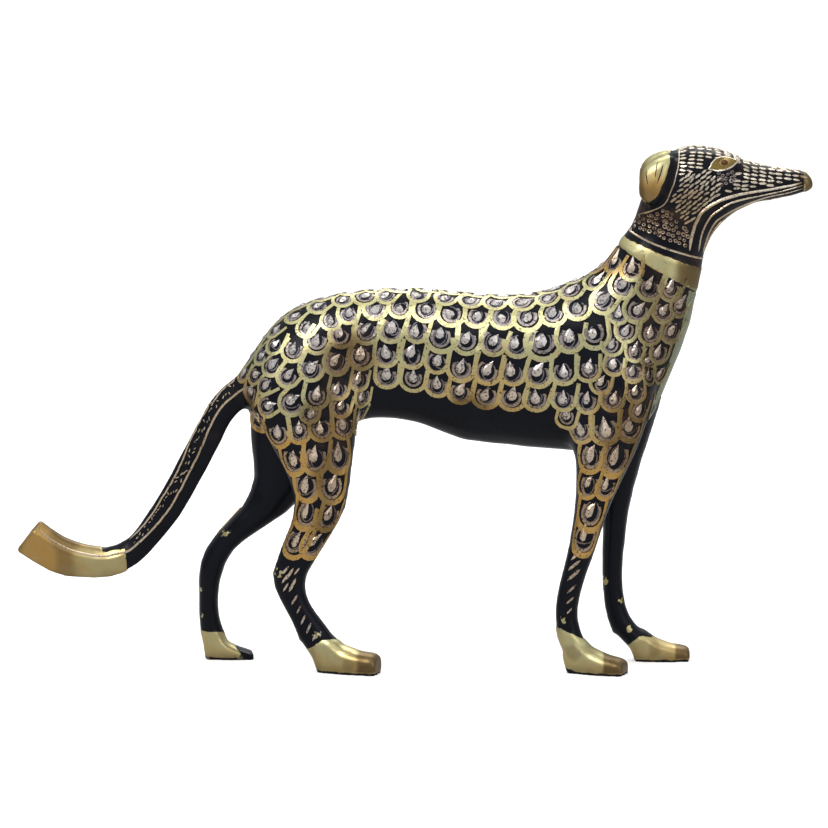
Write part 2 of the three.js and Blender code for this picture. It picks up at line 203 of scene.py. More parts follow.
def smooth_line(points: Outline, step: float) -> list[tuple[float, float]]:
    """Draws a smooth curve through points.

    Args:
        points: The points it passes through.
        step: The greatest spacing of the result.

    Returns:
        The curve's points, with both ends.
    """
    knots = [Vector(p) for p in (points[0], *points, points[-1])]
    curve = []
    for a, b, c, d in zip(knots, knots[1:], knots[2:], knots[3:]):
        count = max(math.ceil((c - b).length / step), 1)
        for i in range(count):
            t = i / count
            spot = 2 * b + (c - a) * t + (2 * a - 5 * b + 4 * c - d) * t**2 + (3 * b - a - 3 * c + d) * t**3
            curve.append(tuple(spot / 2))
    return [*curve, tuple(points[-1])]


# The view the hound is traced in


@dataclass(frozen=True)
class View:
    """The side view in which lines are traced, in millimetres across and up from the hound's origin."""

    azimuth: float = 1.5
    elevation: float = 8.25
    aim: tuple[float, float, float] = (0.3, 0.0, 96.3)

    def axes(self) -> tuple[Vector, Vector, Vector]:
        """Gives the view's directions.

        Returns:
            Its right, its up and the way back to the eye.
        """
        a, e = math.radians(self.azimuth), math.radians(self.elevation)
        back = Vector((math.sin(a) * math.cos(e), -math.cos(a) * math.cos(e), math.sin(e)))
        right = Vector((math.cos(a), math.sin(a), 0))
        return right, back.cross(right), back

    def point(self, across: float, up: float) -> Vector:
        """Places a traced point on the plane through the aim, in metres."""
        right, above, _ = self.axes()
        return (Vector(self.aim) + right * (across - self.aim[0]) + above * (up - self.aim[2])) * MM

    def way(self, degrees: float) -> Vector:
        """Gives the direction that lies so many degrees above the view's right."""
        right, above, _ = self.axes()
        return right * math.cos(math.radians(degrees)) + above * math.sin(math.radians(degrees))


# The skin that cuts are laid on


@dataclass(frozen=True)
class Place:
    """A spot on the skin, the way it faces, which way is up along it and how large what lies there is."""

    point: Vector
    normal: Vector
    up: Vector
    size: float = 1.0
    tall: float = 1.0

    @property
    def across(self) -> Vector:
        """The direction along the skin at right angles to up."""
        return self.up.cross(self.normal)

    def turned(self, degrees: float, size: float = 1.0) -> "Place":
        """Turns up about the normal, and scales the size."""
        up = Matrix.Rotation(math.radians(degrees), 3, self.normal) @ self.up
        return replace(self, up=up, size=self.size * size)

    def moved(self, across: float, up: float) -> "Place":
        """Moves the spot by millimetres along the skin."""
        return replace(self, point=self.point + (self.across * across + self.up * up) * MM)


class Skin:
    """The finished surface of the casting, on which every cut, bead and band is laid."""

    def __init__(self, casting: bpy.types.Object, midline: float, view: View) -> None:
        """Reads the casting's surface.

        Args:
            casting: The casting's mesh object.
            midline: The Y of the hound's own middle plane, in metres.
            view: The view that lines are traced in.
        """
        mesh = casting.data
        faces = [tuple(p.vertices) for p in mesh.polygons]
        self.tree = BVHTree.FromPolygons([v.co.copy() for v in mesh.vertices], faces)
        self.midline = midline
        self.view = view

    def on_flank(self, way: Vector, side: Side) -> Vector:
        """Gives a direction on the right flank, or its mirror image on the left one."""
        return way if side is Side.RIGHT else Vector((way.x, -way.y, way.z))

    def seen(self, across: float, up: float, side: Side, loose: bool = False) -> tuple[Vector, Vector] | None:
        """Finds the skin at a traced point of the view, or at its mirror place on the left flank.

        Args:
            across: Millimetres across the view.
            up: Millimetres up the view.
            side: The flank to find it on.
            loose: Whether a point outside the outline takes the nearest skin.

        Returns:
            The point and its normal, or nothing where the view misses the hound.
        """
        flat = self.view.point(across, up)
        back = self.view.axes()[2]
        point, normal, _, _ = self.tree.ray_cast(flat + back * 0.5, -back)
        if point is None:
            if not loose:
                return None
            point, normal, _, _ = self.tree.find_nearest(flat)
        if side is Side.RIGHT:
            return point, normal
        other = Vector((point.x, 2 * self.midline - point.y, point.z))
        point, normal, _, _ = self.tree.find_nearest(other)
        return point, normal

    def towards(self, inner: Vector, way: Vector) -> tuple[Vector, Vector]:
        """Finds the outermost skin on a line out of the body.

        Args:
            inner: A point inside, in metres.
            way: The direction out.

        Returns:
            The point on the skin and its normal.
        """
        out = way.normalized()
        point, normal, _, _ = self.tree.ray_cast(inner + out * 0.1, -out)
        if point is None:
            point, normal, _, _ = self.tree.find_nearest(inner)
        return point, normal

    def place(self, point: Vector, normal: Vector, up: Vector, size: float = 1.0) -> Place:
        """Makes a place whose up lies along the skin."""
        flat = up - normal * up.dot(normal)
        return Place(point, normal, flat.normalized(), size)

    def from_side(self, x: float, z: float, side: Side, lean: float = 0.0, size: float = 1.0) -> Place:
        """Finds the place that is seen at x and z from one side.

        Args:
            x: Forward place in millimetres.
            z: Height in millimetres.
            side: The flank that is looked at.
            lean: How far up leans towards the head, in degrees.
            size: The size of what is laid there.

        Returns:
            The place.
        """
        inner = Vector((x * MM, self.midline, z * MM))
        point, normal = self.towards(inner, Vector((0, side.value, 0)))
        turn = math.radians(lean)
        return self.place(point, normal, Vector((math.sin(turn), 0, math.cos(turn))), size)

    def bend(self, place: Place, local: Vector) -> Vector:
        """Carries a point of a flat template onto the skin.

        Args:
            place: Where the template is laid.
            local: The point, in millimetres across, up and out.

        Returns:
            The point in metres.
        """
        flat = place.point + (place.across * local.x + place.up * (local.y * place.tall)) * (MM * place.size)
        foot, normal, _, _ = self.tree.find_nearest(flat)
        return foot + normal * (local.z * MM)

    def lay(
        self,
        template: bpy.types.Object,
        places: Sequence[Place],
        name: str,
        fit: Callable[[Place, Vector], Vector] | None = None,
    ) -> bpy.types.Object:
        """Lays a copy of a template at every place and joins the copies.

        Args:
            template: The flat shape, modelled in millimetres.
            places: Where the copies go.
            name: The joined piece's name.
            fit: Gives where a point of the flat shape goes in the copy for one place.

        Returns:
            The piece.
        """
        flat = [v.co.copy() for v in template.data.vertices]
        copies = []
        for place in places:
            mesh = template.data.copy()
            for vertex, local in zip(mesh.vertices, flat):
                vertex.co = self.bend(place, fit(place, local) if fit else local)
            copy = bpy.data.objects.new(name, mesh)
            bpy.context.collection.objects.link(copy)
            copies.append(copy)
        return join(copies, name)

    def bead(
        self,
        points: Sequence[Vector],
        radius: float,
        name: str,
        sunk: float = 0.35,
        closed: bool = False,
        start: float = 1.0,
    ) -> bpy.types.Object:
        """Runs a round bead through points on the skin, thinner at open ends.

        Args:
            points: The bead's way, in metres, on the skin.
            radius: Its radius in millimetres.
            name: The object's name.
            sunk: The share of the radius by which its middle lies under the skin.
            closed: Whether its end meets its start.
            start: The share of the radius it starts with, growing to the whole by half way.

        Returns:
            The bead as a closed mesh.
        """
        curve = bpy.data.curves.new(name, "CURVE")
        curve.dimensions = "3D"
        curve.bevel_depth = radius * MM
        curve.bevel_resolution = 1
        curve.use_fill_caps = True
        spline = curve.splines.new("POLY")
        spline.points.add(len(points) - 1)
        spline.use_cyclic_u = closed
        for number, (knot, point) in enumerate(zip(spline.points, points)):
            foot, normal, _, _ = self.tree.find_nearest(point)
            knot.co = (*(foot - normal * (radius * sunk * MM)), 1.0)
            end = min(number, len(points) - 1 - number)
            grown = start + (1 - start) * min(2 * number / len(points), 1.0)
            knot.radius = 1.0 if closed else min(0.45 + 0.2 * end, 1.0) * grown
        bead = bpy.data.objects.new(name, curve)
        bpy.context.collection.objects.link(bead)
        select_only(bead)
        bpy.ops.object.convert(target="MESH")
        return bpy.context.object


def drop(template: bpy.types.Object) -> None:
    """Deletes a template once its copies are laid."""
    bpy.data.objects.remove(template, do_unlink=True)


# Finishes


def add_node(
    tree: bpy.types.NodeTree, kind: str, inputs: dict[str | int, object] | None = None, **settings: object
) -> bpy.types.Node:
    """Adds one shader node with its settings and links.

    Args:
        tree: The material's node tree.
        kind: The node's type, without the words ShaderNode before it.
        inputs: Socket name or number, with a value, an output socket or a node, for its first output in use.
        settings: The node's properties.

    Returns:
        The node.
    """
    node = tree.nodes.new("ShaderNode" + kind)
    for name, value in settings.items():
        setattr(node, name, value)
    for socket, value in (inputs or {}).items():
        if isinstance(value, bpy.types.Node):
            value = next(output for output in value.outputs if output.enabled)
        if isinstance(value, bpy.types.NodeSocket):
            tree.links.new(value, node.inputs[socket])
        else:
            node.inputs[socket].default_value = value
    return node


def blank_material(name: str) -> bpy.types.Material:
    """Makes a material with an empty node tree.

    Args:
        name: The material's name.

    Returns:
        The material.
    """
    material = bpy.data.materials.new(name)
    material.use_nodes = True
    material.node_tree.nodes.clear()
    return material


@dataclass(frozen=True)
class Brass:
    """Polished leaded brass as it tarnishes, with painted light: greenish above and warm lower down, a
    painted reflection, and brown where hands miss it and where shade is painted.
    """

    pale: str = "ccc796"
    # warm is the colour of the painted warm reflection, and brown serves both tarnish and painted shade.
    warm: str = "c89f5c"
    brown: str = "6e5b3c"
    oxide: str = "7d8474"

    def colour(self, tree: bpy.types.NodeTree, place: bpy.types.NodeSocket) -> bpy.types.Node:
        """Mixes the brass's colours, its own and its painted reflection and shade, from the tone attribute
        and a slow mottle.

        Args:
            tree: The material's node tree.
            place: Object coordinates.

        Returns:
            The node that gives the colour.
        """
        tone = add_node(tree, "Attribute", attribute_name="tone").outputs["Color"]
        tones = add_node(tree, "SeparateColor", {"Color": tone}).outputs
        # Mottling of polished tarnish, about 5 mm across.
        mottle = add_node(
            tree, "TexNoise", {"Vector": place, "Scale": 200.0, "Detail": 3.0, "Roughness": 0.6}
        )
        spread = add_node(
            tree,
            "MapRange",
            {"Value": mottle, "From Min": 0.3, "From Max": 0.7, "To Min": -0.22, "To Max": 0.22},
        )
        warmth = add_node(tree, "Math", {0: tones["Red"], 1: spread}, operation="ADD", use_clamp=True)
        mixed: bpy.types.Node | Colour = linear(self.pale)
        for share, code in ((warmth, self.warm), (tones["Green"], self.brown), (tones["Blue"], self.oxide)):
            mixed = add_node(tree, "Mix", {"Factor": share, "A": mixed, "B": linear(code)}, data_type="RGBA")
        return mixed


@dataclass(frozen=True)
class LacqueredCasting:
    """Black baked lacquer over a sand casting, polished through to brass on the high parts.

    The lacquer is smooth and nearly black with a cold sheen, partly painted into its colour as a bluish tint,
    and the sand's grain shows under it.
    """

    brass: Brass = field(default_factory=Brass)
    lacquer: str = "08090d"
    sheen: str = "12141d"
    thinned: str = "3b2c20"

    def make(self) -> bpy.types.Material:
        """Builds the material on the polish attribute, the distance in millimetres inside a polished part.

        Returns:
            The material.
        """
        material = blank_material("lacquered_casting")
        tree = material.node_tree
        place = add_node(tree, "TexCoord").outputs["Object"]
        # The polished parts' edges wander by a fifth of a millimetre, as a brush leaves the lacquer.
        edge = add_node(tree, "TexNoise", {"Vector": place, "Scale": 420.0, "Detail": 4.0})
        wander = add_node(
            tree,
            "MapRange",
            {"Value": edge, "From Min": 0.3, "From Max": 0.7, "To Min": -0.22, "To Max": 0.22},
        )
        polish = add_node(tree, "Attribute", attribute_name="polish").outputs["Fac"]
        moved = add_node(tree, "Math", {0: polish, 1: wander}, operation="ADD")
        bare = add_node(tree, "MapRange", {"Value": moved, "From Min": -0.12, "From Max": 0.12})
        # Lacquer chips where an edge is knocked: sharp edges meet a noise some 6 mm across.
        edges = add_node(tree, "NewGeometry").outputs["Pointiness"]
        sharp = add_node(tree, "MapRange", {"Value": edges, "From Min": 0.53, "From Max": 0.6})
        chipping = add_node(tree, "TexNoise", {"Vector": place, "Scale": 160.0, "Detail": 5.0})
        chance = add_node(tree, "MapRange", {"Value": chipping, "From Min": 0.58, "From Max": 0.62})
        chips = add_node(tree, "Math", {0: sharp, 1: chance}, operation="MULTIPLY")
        metal = add_node(tree, "Math", {0: bare, 1: chips}, operation="MAXIMUM")
        # The lacquer is thicker and thinner over about 11 mm, which moves its gloss, and its colour between
        # black and a bluish painted sheen.
        film = add_node(tree, "TexNoise", {"Vector": place, "Scale": 90.0, "Detail": 2.0})
        cold, dark = linear(self.sheen), linear(self.lacquer)
        black = add_node(tree, "Mix", {"Factor": film, "A": dark, "B": cold}, data_type="RGBA")
        # The film wears thin and brown in blotches some 4 mm across, where the tone attribute is brown, which
        # includes the painted shade of the parts that face forward.
        tone = add_node(tree, "Attribute", attribute_name="tone").outputs["Color"]
        brown = add_node(tree, "SeparateColor", {"Color": tone}).outputs["Green"]
        thinning = add_node(tree, "TexNoise", {"Vector": place, "Scale": 260.0, "Detail": 3.0})
        thin = add_node(
            tree, "MapRange", {"Value": thinning, "From Min": 0.38, "From Max": 0.62, "To Max": 0.9}
        )
        worn = add_node(tree, "Math", {0: brown, 1: thin}, operation="MULTIPLY")
        thinned = linear(self.thinned)
        filmed = add_node(tree, "Mix", {"Factor": worn, "A": black, "B": thinned}, data_type="RGBA")
        brass = self.brass.colour(tree, place)
        colour = add_node(tree, "Mix", {"Factor": metal, "A": filmed, "B": brass}, data_type="RGBA")
        smooth = add_node(
            tree,
            "MapRange",
            {"Value": film, "From Min": 0.3, "From Max": 0.7, "To Min": 0.24, "To Max": 0.38},
        )
        # Filed and rubbed brass is duller than the lacquer.
        gloss = add_node(tree, "Math", {0: metal, 1: 0.1, 2: smooth}, operation="MULTIPLY_ADD")
        # Sand grain, about 0.7 mm across, softened by the lacquer.
        grain = add_node(tree, "TexNoise", {"Vector": place, "Scale": 1400.0, "Detail": 2.0})
        relief = add_node(tree, "Bump", {"Height": grain, "Strength": 0.25, "Distance": 0.00012})
        shader = add_node(
            tree,
            "BsdfPrincipled",
            {
                "Base Color": colour,
                "Metallic": metal,
                "Roughness": gloss,
                "Specular IOR Level": 0.13,
                "Normal": relief,
            },
        )
        add_node(tree, "OutputMaterial", {"Surface": shader})
        return material


@dataclass(frozen=True)
class BurnishedBrass:
    """The same brass on a raised band or bead: rubbed bright, with lacquer left in its pits."""

    name: str
    brass: Brass = field(default_factory=Brass)
    stain: str = "1d1a18"
    stained: float = 0.36
    roughness: float = 0.26

    def make(self) -> bpy.types.Material:
        """Builds the material.

        Returns:
            The material.
        """
        material = blank_material(self.name)
        tree = material.node_tree
        place = add_node(tree, "TexCoord").outputs["Object"]
        # Pits and tool slips that hold lacquer, about 0.8 mm across.
        pits = add_node(
            tree, "TexNoise", {"Vector": place, "Scale": 1100.0, "Detail": 5.0, "Roughness": 0.65}
        )
        low, high = self.stained, self.stained + 0.06
        held = add_node(
            tree,
            "MapRange",
            {"Value": pits, "From Min": low, "From Max": high, "To Min": 0.85, "To Max": 0.0},
        )
        clean, stain = self.brass.colour(tree, place), linear(self.stain)
        colour = add_node(tree, "Mix", {"Factor": held, "A": clean, "B": stain}, data_type="RGBA")
        dull, bright = self.roughness + 0.14, self.roughness
        rubbed = add_node(
            tree,
            "MapRange",
            {"Value": pits, "From Min": 0.3, "From Max": 0.7, "To Min": dull, "To Max": bright},
        )
        relief = add_node(tree, "Bump", {"Height": pits, "Strength": 0.3, "Distance": 0.00015})
        shader = add_node(
            tree,
            "BsdfPrincipled",
            {"Base Color": colour, "Metallic": 1.0, "Roughness": rubbed, "Normal": relief},
        )
        add_node(tree, "OutputMaterial", {"Surface": shader})
        return material


@dataclass(frozen=True)
class PlainLacquer:
    """Black lacquer wiped into a graved line: dull, and greyer where the wiping thinned it."""

    lacquer: str = "14131a"
    thinned: str = "2c2a2c"

    def make(self) -> bpy.types.Material:
        """Builds the material.

        Returns:
            The material.
        """
        material = blank_material("lacquer_line")
        tree = material.node_tree
        place = add_node(tree, "TexCoord").outputs["Object"]
        # Wiping marks, about 2 mm across.
        film = add_node(tree, "TexNoise", {"Vector": place, "Scale": 500.0, "Detail": 3.0})
        thin = add_node(tree, "MapRange", {"Value": film, "From Min": 0.35, "From Max": 0.7})
        black, grey = linear(self.lacquer), linear(self.thinned)
        colour = add_node(tree, "Mix", {"Factor": thin, "A": black, "B": grey}, data_type="RGBA")
        shader = add_node(
            tree, "BsdfPrincipled", {"Base Color": colour, "Roughness": 0.4, "Specular IOR Level": 0.13}
        )
        add_node(tree, "OutputMaterial", {"Surface": shader})
        return material


class Finishes:
    """Every finish on the hound, made once."""

    def __init__(self) -> None:
        """Makes the materials. Freshly cut brass is greyer and redder than the burnished bands."""
        cut = Brass(pale="d2ccc8", warm="dcc6ac", brown="b09a84")
        ring = Brass(pale="a29894", warm="ad957b", brown="846c58")
        burr = Brass(pale="7d7a80", warm="86786c", brown="5c4c40")
        hair = Brass(pale="e4dac8", warm="dcc4a4", brown="b09878")
        eye = Brass(pale="7d6a3c", warm="6c5430", brown="3a2614")
        iris = Brass(pale="6b4428", warm="5c3a22", brown="3a2614")
        self.casting = LacqueredCasting().make()
        self.band = BurnishedBrass("burnished_brass", roughness=0.33).make()
        self.cut = BurnishedBrass("chisel_cut_brass", cut, stained=0.4, roughness=0.3).make()
        self.ring = BurnishedBrass("dull_cut_brass", ring, stained=0.4, roughness=0.34).make()
        self.burr = BurnishedBrass("grey_cut_brass", burr, stained=0.4, roughness=0.36).make()
        self.hair = BurnishedBrass("chased_brass", hair, stained=0.38, roughness=0.32).make()
        self.eye = BurnishedBrass("rubbed_brown_brass", eye, stained=0.3).make()
        self.iris = BurnishedBrass("copper_brown_brass", iris, stained=0.3).make()
        self.line = PlainLacquer().make()


# Where the brass is pale, warm or brown


@dataclass(frozen=True)
class TarnishAndPaintedLight:
    """How the brass's colour changes over the hound, from handling and from years on one side, and the light
    painted on it: a warm reflection lower down, and shade on parts that face forward, on the ears and on the
    tail's tip.
    """

    casting: "Casting"
    flank: tuple[float, float] = (-24.0, 119.0)
    cheek: tuple[float, float] = (103.0, 176.0)
    nose_x: float = 144.0
    tail_x: float = -100.0

    def tone(self, place: Vector, normal: Vector) -> Colour:
        """Gives warmth as red, brownness as green and grey-green oxide as blue at a spot. The warmth lower
        down is painted reflection, and the brownness is partly wear and partly painted shade.

        Args:
            place: The spot in metres.
            normal: The way it faces.

        Returns:
            The tone as a colour.
        """
        x, z = place.x / MM, place.z / MM
        bare = self.casting.polish_at(place, normal) > 0
        on_ear = 80 < x < 98 and z > 170
        # Blotches some 25 mm across, as fingers leave them, which also make the edge of the painted warm
        # reflection uneven.
        blotch = noise.noise(place * 40 + Vector((3.1, 0, 7.7)))
        # Painted reflection: the brass is painted warmer lower down on the body, and on the head and ears
        # below their tops.
        warmth = smoothstep(122, 84, z + 28 * blotch)
        oxide = 0.0
        if z > 150:
            warmth = smoothstep(188, 172, z) * 0.8
        if on_ear:
            warmth = smoothstep(193, 182, z)
        # Painted shade: browner on surfaces that face forward, on the front of the neck, and in blotches on
        # the lower rows.
        front_shade = smoothstep(0.25, 0.8, normal.x) * smoothstep(55, 75, x)
        neck = smoothstep(77, 86, x - 0.08 * (z - 100)) * smoothstep(158, 150, z)
        shade = smoothstep(0.05, 0.45, noise.noise(place * 55 + Vector((9.2, 4.1, 0))))
        brown = min(0.6 * front_shade + 0.68 * neck + 0.75 * shade * smoothstep(126, 106, z), 0.9)
        flank = smoothstep(15, 5, math.dist((x, z), self.flank))
        brown = max(brown, 0.9 * flank)
        warmth = max(warmth, 0.5 * flank)
        # Painted shade on the ear: browner low down and at its back.
        if on_ear:
            brown = 0.12 + 0.55 * smoothstep(188, 181, z) + 0.35 * smoothstep(88, 85.5, x)
        if bare and 66 < x < 112 and 84 < z < 166:
            # The collar is pale with a brown front, and the bare breast below it is green.
            collar = smoothstep(-1.0, 0.0, self.casting.collar_heights(x, z)[0])
            warmth = 0.1 * collar
            brown = 0.95 * smoothstep(96, 101, x) * collar
            oxide = 0.85 * (1 - collar)
        if x > 92 and 164 < z < 190:
            # The cheek and throat, where the lacquer is worn brown.
            cheek = smoothstep(13, 4, math.dist((x, z), self.cheek))
            brown = max(brown, 0.85 * cheek, 0.6 * smoothstep(178, 172, z) * smoothstep(104, 110, x))
        if x > self.nose_x:
            brown = 0.95
        if z < 22:
            warmth = 0.25 + 0.3 * smoothstep(10, 2, z) + 0.5 * blotch
            toe = x - self.casting.toe_from[self.casting.foot_at(place)]
            smear = smoothstep(0.05, 0.45, noise.noise(place * 170))
            brown = 0.12 + 0.8 * smoothstep(-0.5, 0.5, toe) + 0.4 * smoothstep(5, 0, z) + 0.35 * smear
        if bare and 16 < z < 52 and x > self.tail_x:
            # Chips knocked through the lacquer on the shins, bare and pale.
            warmth, brown, oxide = 0.1, 0.0, 0.3
        # The bare tip: warmer towards its end, with painted shade browning its upper face and underside, and
        # brown blotches.
        if x < self.tail_x:
            warmth = 0.35 + 0.6 * smoothstep(-120, -138, x)
            brown = 0.25 + 0.5 * smoothstep(0.45, 0.8, normal.z) + 0.25 * smoothstep(-0.3, -0.8, normal.z)
            brown += 0.4 * smoothstep(0.0, 0.5, noise.noise(place * 95))
        return (min(max(warmth, 0), 1), min(max(brown, 0), 1), oxide, 1.0)

    def film(self, place: Vector, normal: Vector) -> Colour:
        """Gives the tone of the casting itself, whose lacquer stays black low down and underneath.

        Args:
            place: The spot in metres.
            normal: The way it faces.

        Returns:
            The tone as a colour.
        """
        warmth, brown, oxide, _ = self.tone(place, normal)
        if self.casting.polish_at(place, normal) < 0:
            brown *= smoothstep(-0.4, 0.0, normal.z) * smoothstep(80, 92, place.z / MM)
        return warmth, brown, oxide, 1.0

    def paint(self, piece: bpy.types.Object) -> None:
        """Writes the tone on a piece's vertices.

        Args:
            piece: The piece.
        """
        layer = piece.data.attributes.new("tone", "FLOAT_COLOR", "POINT")
        read = self.film if piece == self.casting.piece else self.tone
        tones = [read(vertex.co, vertex.normal) for vertex in piece.data.vertices]
        layer.data.foreach_set("color", [share for tone in tones for share in tone])


# The casting


@dataclass
class Casting:
    """The one solid casting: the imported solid's own form, with its facets melted into a cast skin.

    Places are x and z in millimetres and outlines are seen from the side. worn and flaws give each spot's
    place and reach, and heels gives each heel's x and how far it is drawn in.
    """

    piece: bpy.types.Object = field(init=False)
    midline: float = field(init=False)
    gouges: list[tuple[Vector, Vector, Vector]] = field(init=False)
    voxel: float = 1.0
    gouge_depth: float = 0.12
    gouge_top: float = 160.0
    foot_top: float = 14.0
    tail_block_x: float = -108.0
    crispness: float = 0.35
    melt_rounds: int = 8
    joint_rounds: int = 26
    ground_depth: float = 0.4
    sole: float = 0.6
    dints: float = 0.16
    dint_grain: float = 130.0
    scabs: float = 1.1
    scab_grain: float = 420.0
    flaws: tuple[tuple[float, float, float], ...] = (
        (-14.0, 129.0, 10.0),
        (57.5, 94.0, 4.5),
        (24.0, 122.0, 5.0),
    )
    collar_low: tuple[float, float, float, float] = (77.0, 160.9, 108.2, 142.8)
    gold_width: tuple[float, float] = (3.6, 8.4)
    toe_from: dict[str, float] = field(
        default_factory=lambda: {
            "right_fore": 72.0,
            "right_hind": -20.5,
            "left_fore": 99.0,
            "left_hind": -63.0,
        }
    )
    worn: tuple[tuple[Side, float, float, float], ...] = (
        (Side.RIGHT, -50.0, 38.0, 2.6),
        (Side.RIGHT, -36.0, 14.5, 2.0),
        (Side.RIGHT, 57.0, 20.5, 1.6),
        (Side.LEFT, -80.5, 27.0, 1.7),
        (Side.LEFT, -80.0, 17.0, 1.4),
        (Side.LEFT, -71.5, 48.5, 2.6),
        (Side.LEFT, 72.5, 31.0, 1.8),
        (Side.LEFT, 78.0, 23.4, 1.8),
        (Side.LEFT, 81.5, 12.6, 2.0),
    )
    ear_top: float = 190.0
    ear_drop: float = 0.72
    nape_x: float = 77.0
    throat_x: float = 109.0
    tail_bare_x: float = -108.5
    nose_bare_x: float = 146.6
    breast_half: float = 7.5
    foot_bare: dict[str, Outline] = field(
        default_factory=lambda: {
            "right_fore": (
                (52.5, 3.6), (52.5, 17.6), (56.0, 17.2), (64.0, 13.2), (70.0, 11.0), (83.0, 8.0),
                (83.0, 0.9), (62.0, 0.9),
            ),
            "right_hind": (
                (-38.0, 1.0), (-43.0, 5.0), (-43.0, 7.4), (-38.8, 9.2), (-33.5, 12.8), (-29.0, 12.6),
                (-20.0, 11.0), (-8.0, 11.0), (-8.0, 0.8),
            ),
            "left_fore": (
                (84.0, 0.9), (79.5, 2.4), (81.5, 6.7), (85.6, 9.9), (92.0, 9.2), (98.4, 8.6),
                (108.0, 8.0), (108.0, 0.9),
            ),
            "left_hind": (
                (-83.0, 1.4), (-83.0, 11.2), (-79.0, 11.0), (-72.6, 10.6), (-65.8, 2.4), (-67.0, 1.0),
            ),
        }
    )
    heel_top: float = 13.0
    heel_reach: tuple[float, float] = (3.0, 14.0)
    heels: dict[str, tuple[float, float]] = field(
        default_factory=lambda: {
            "right_fore": (54.4, 3.6),
            "right_hind": (-39.5, 3.8),
            "left_fore": (78.5, 5.0),
            "left_hind": (-79.5, 1.4),
        }
    )
    ear: Outline = (
        (96.6, 200.0), (90.0, 200.0), (82.0, 197.0), (81.0, 186.0), (83.4, 181.6), (86.0, 179.0),
        (88.4, 178.2), (91.0, 180.0), (93.2, 184.0), (95.0, 188.4), (96.3, 193.4),
    )

    def build(self) -> bpy.types.Object:
        """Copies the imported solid, reads its gouges and melts its facets.

        Returns:
            The casting's mesh object.
        """
        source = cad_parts["hound"]
        self.piece = bpy.data.objects.new("hound_casting", source.data.copy())
        bpy.context.collection.objects.link(self.piece)
        select_only(self.piece)
        edit_all()
        bpy.ops.mesh.remove_doubles(threshold=2e-6)
        bpy.ops.object.mode_set(mode="OBJECT")
        self.midline = self.find_midline()
        self.gouges = self.find_gouges()
        apply_modifier(self.piece, "REMESH", mode="VOXEL", voxel_size=self.voxel * MM, use_smooth_shade=True)
        self.melt()
        self.mark_polish()
        return self.piece

    def find_midline(self) -> float:
        """Finds the hound's middle plane from the tip of its nose.

        Returns:
            The plane's Y in metres.
        """
        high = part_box("hound")[1]
        nose = [v.co.y for v in self.piece.data.vertices if v.co.x > high.x - 4 * MM]
        return (min(nose) + max(nose)) / 2

    def find_gouges(self) -> list[tuple[Vector, Vector, Vector]]:
        """Finds the chisel gouges, and fills each one level.

        A gouge is a vertex that lies well under all its neighbours, and the furthest neighbour is its tip.

        Returns:
            Each gouge's middle on the skin, the normal there and the direction of its tip.
        """
        mesh = self.piece.data
        neighbours: dict[int, list[int]] = {v.index: [] for v in mesh.vertices}
        for edge in mesh.edges:
            a, b = edge.vertices
            neighbours[a].append(b)
            neighbours[b].append(a)
        found = []
        for vertex in mesh.vertices:
            around = [mesh.vertices[i].co - vertex.co for i in neighbours[vertex.index]]
            if not 3 <= len(around) <= 14 or max(d.length for d in around) > 6 * MM:
                continue
            heights = [d.dot(vertex.normal) for d in around]
            if min(heights) < self.gouge_depth * MM or vertex.co.z > self.gouge_top * MM:
                continue
            tip = max(around, key=lambda d: d.length)
            found.append((vertex.index, vertex.normal.copy(), sum(heights) / len(heights), tip))
        gouges = []
        for index, normal, height, tip in found:
            mesh.vertices[index].co += normal * height
            gouges.append((mesh.vertices[index].co.copy(), normal, tip.normalized()))
        LOG.info("found %d gouges", len(gouges))
        return gouges

    def melt(self) -> None:
        """Smooths the facets away, more where the legs join the body, and keeps the soles flat."""
        soft = self.piece.vertex_groups.new(name="soft")
        joints = self.piece.vertex_groups.new(name="joints")
        for vertex in self.piece.data.vertices:
            x, z = vertex.co.x / MM, vertex.co.z / MM
            crisp = z < self.foot_top or x < self.tail_block_x
            soft.add([vertex.index], self.crispness if crisp else 1.0, "REPLACE")
            weight = smoothstep(66, 82, z) * smoothstep(150, 138, z) * smoothstep(-68, -60, x)
            joints.add([vertex.index], weight, "REPLACE")
        self.lower_ears()
        self.draw_heels()
        apply_modifier(self.piece, "SMOOTH", factor=0.5, iterations=self.melt_rounds, vertex_group="soft")
        apply_modifier(self.piece, "SMOOTH", factor=0.5, iterations=self.joint_rounds, vertex_group="joints")
        ground = self.piece.vertex_groups.new(name="ground")
        self.dint()
        for vertex in self.piece.data.vertices:
            depth = smoothstep(0.7, -0.5, self.polish_at(vertex.co, vertex.normal))
            ground.add([vertex.index], depth * smoothstep(8, 14, vertex.co.z / MM), "REPLACE")
        apply_modifier(
            self.piece, "DISPLACE", strength=-self.ground_depth * MM, mid_level=0.0, vertex_group="ground"
        )
        self.piece.vertex_groups.clear()
        for vertex in self.piece.data.vertices:
            if vertex.co.z < self.sole * MM:
                vertex.co.z = 0.0

    def lower_ears(self) -> None:
        """Lays the tops of the ears closer to the head."""
        for vertex in self.piece.data.vertices:
            x, y, z = vertex.co.x / MM, abs(vertex.co.y - self.midline) / MM, vertex.co.z / MM
            if 80 < x < 100.5 and z > self.ear_top:
                share = smoothstep(5.5, 8.5, y) * smoothstep(100.5, 98.5, x)
                vertex.co.z -= (z - self.ear_top) * (1 - self.ear_drop) * share * MM

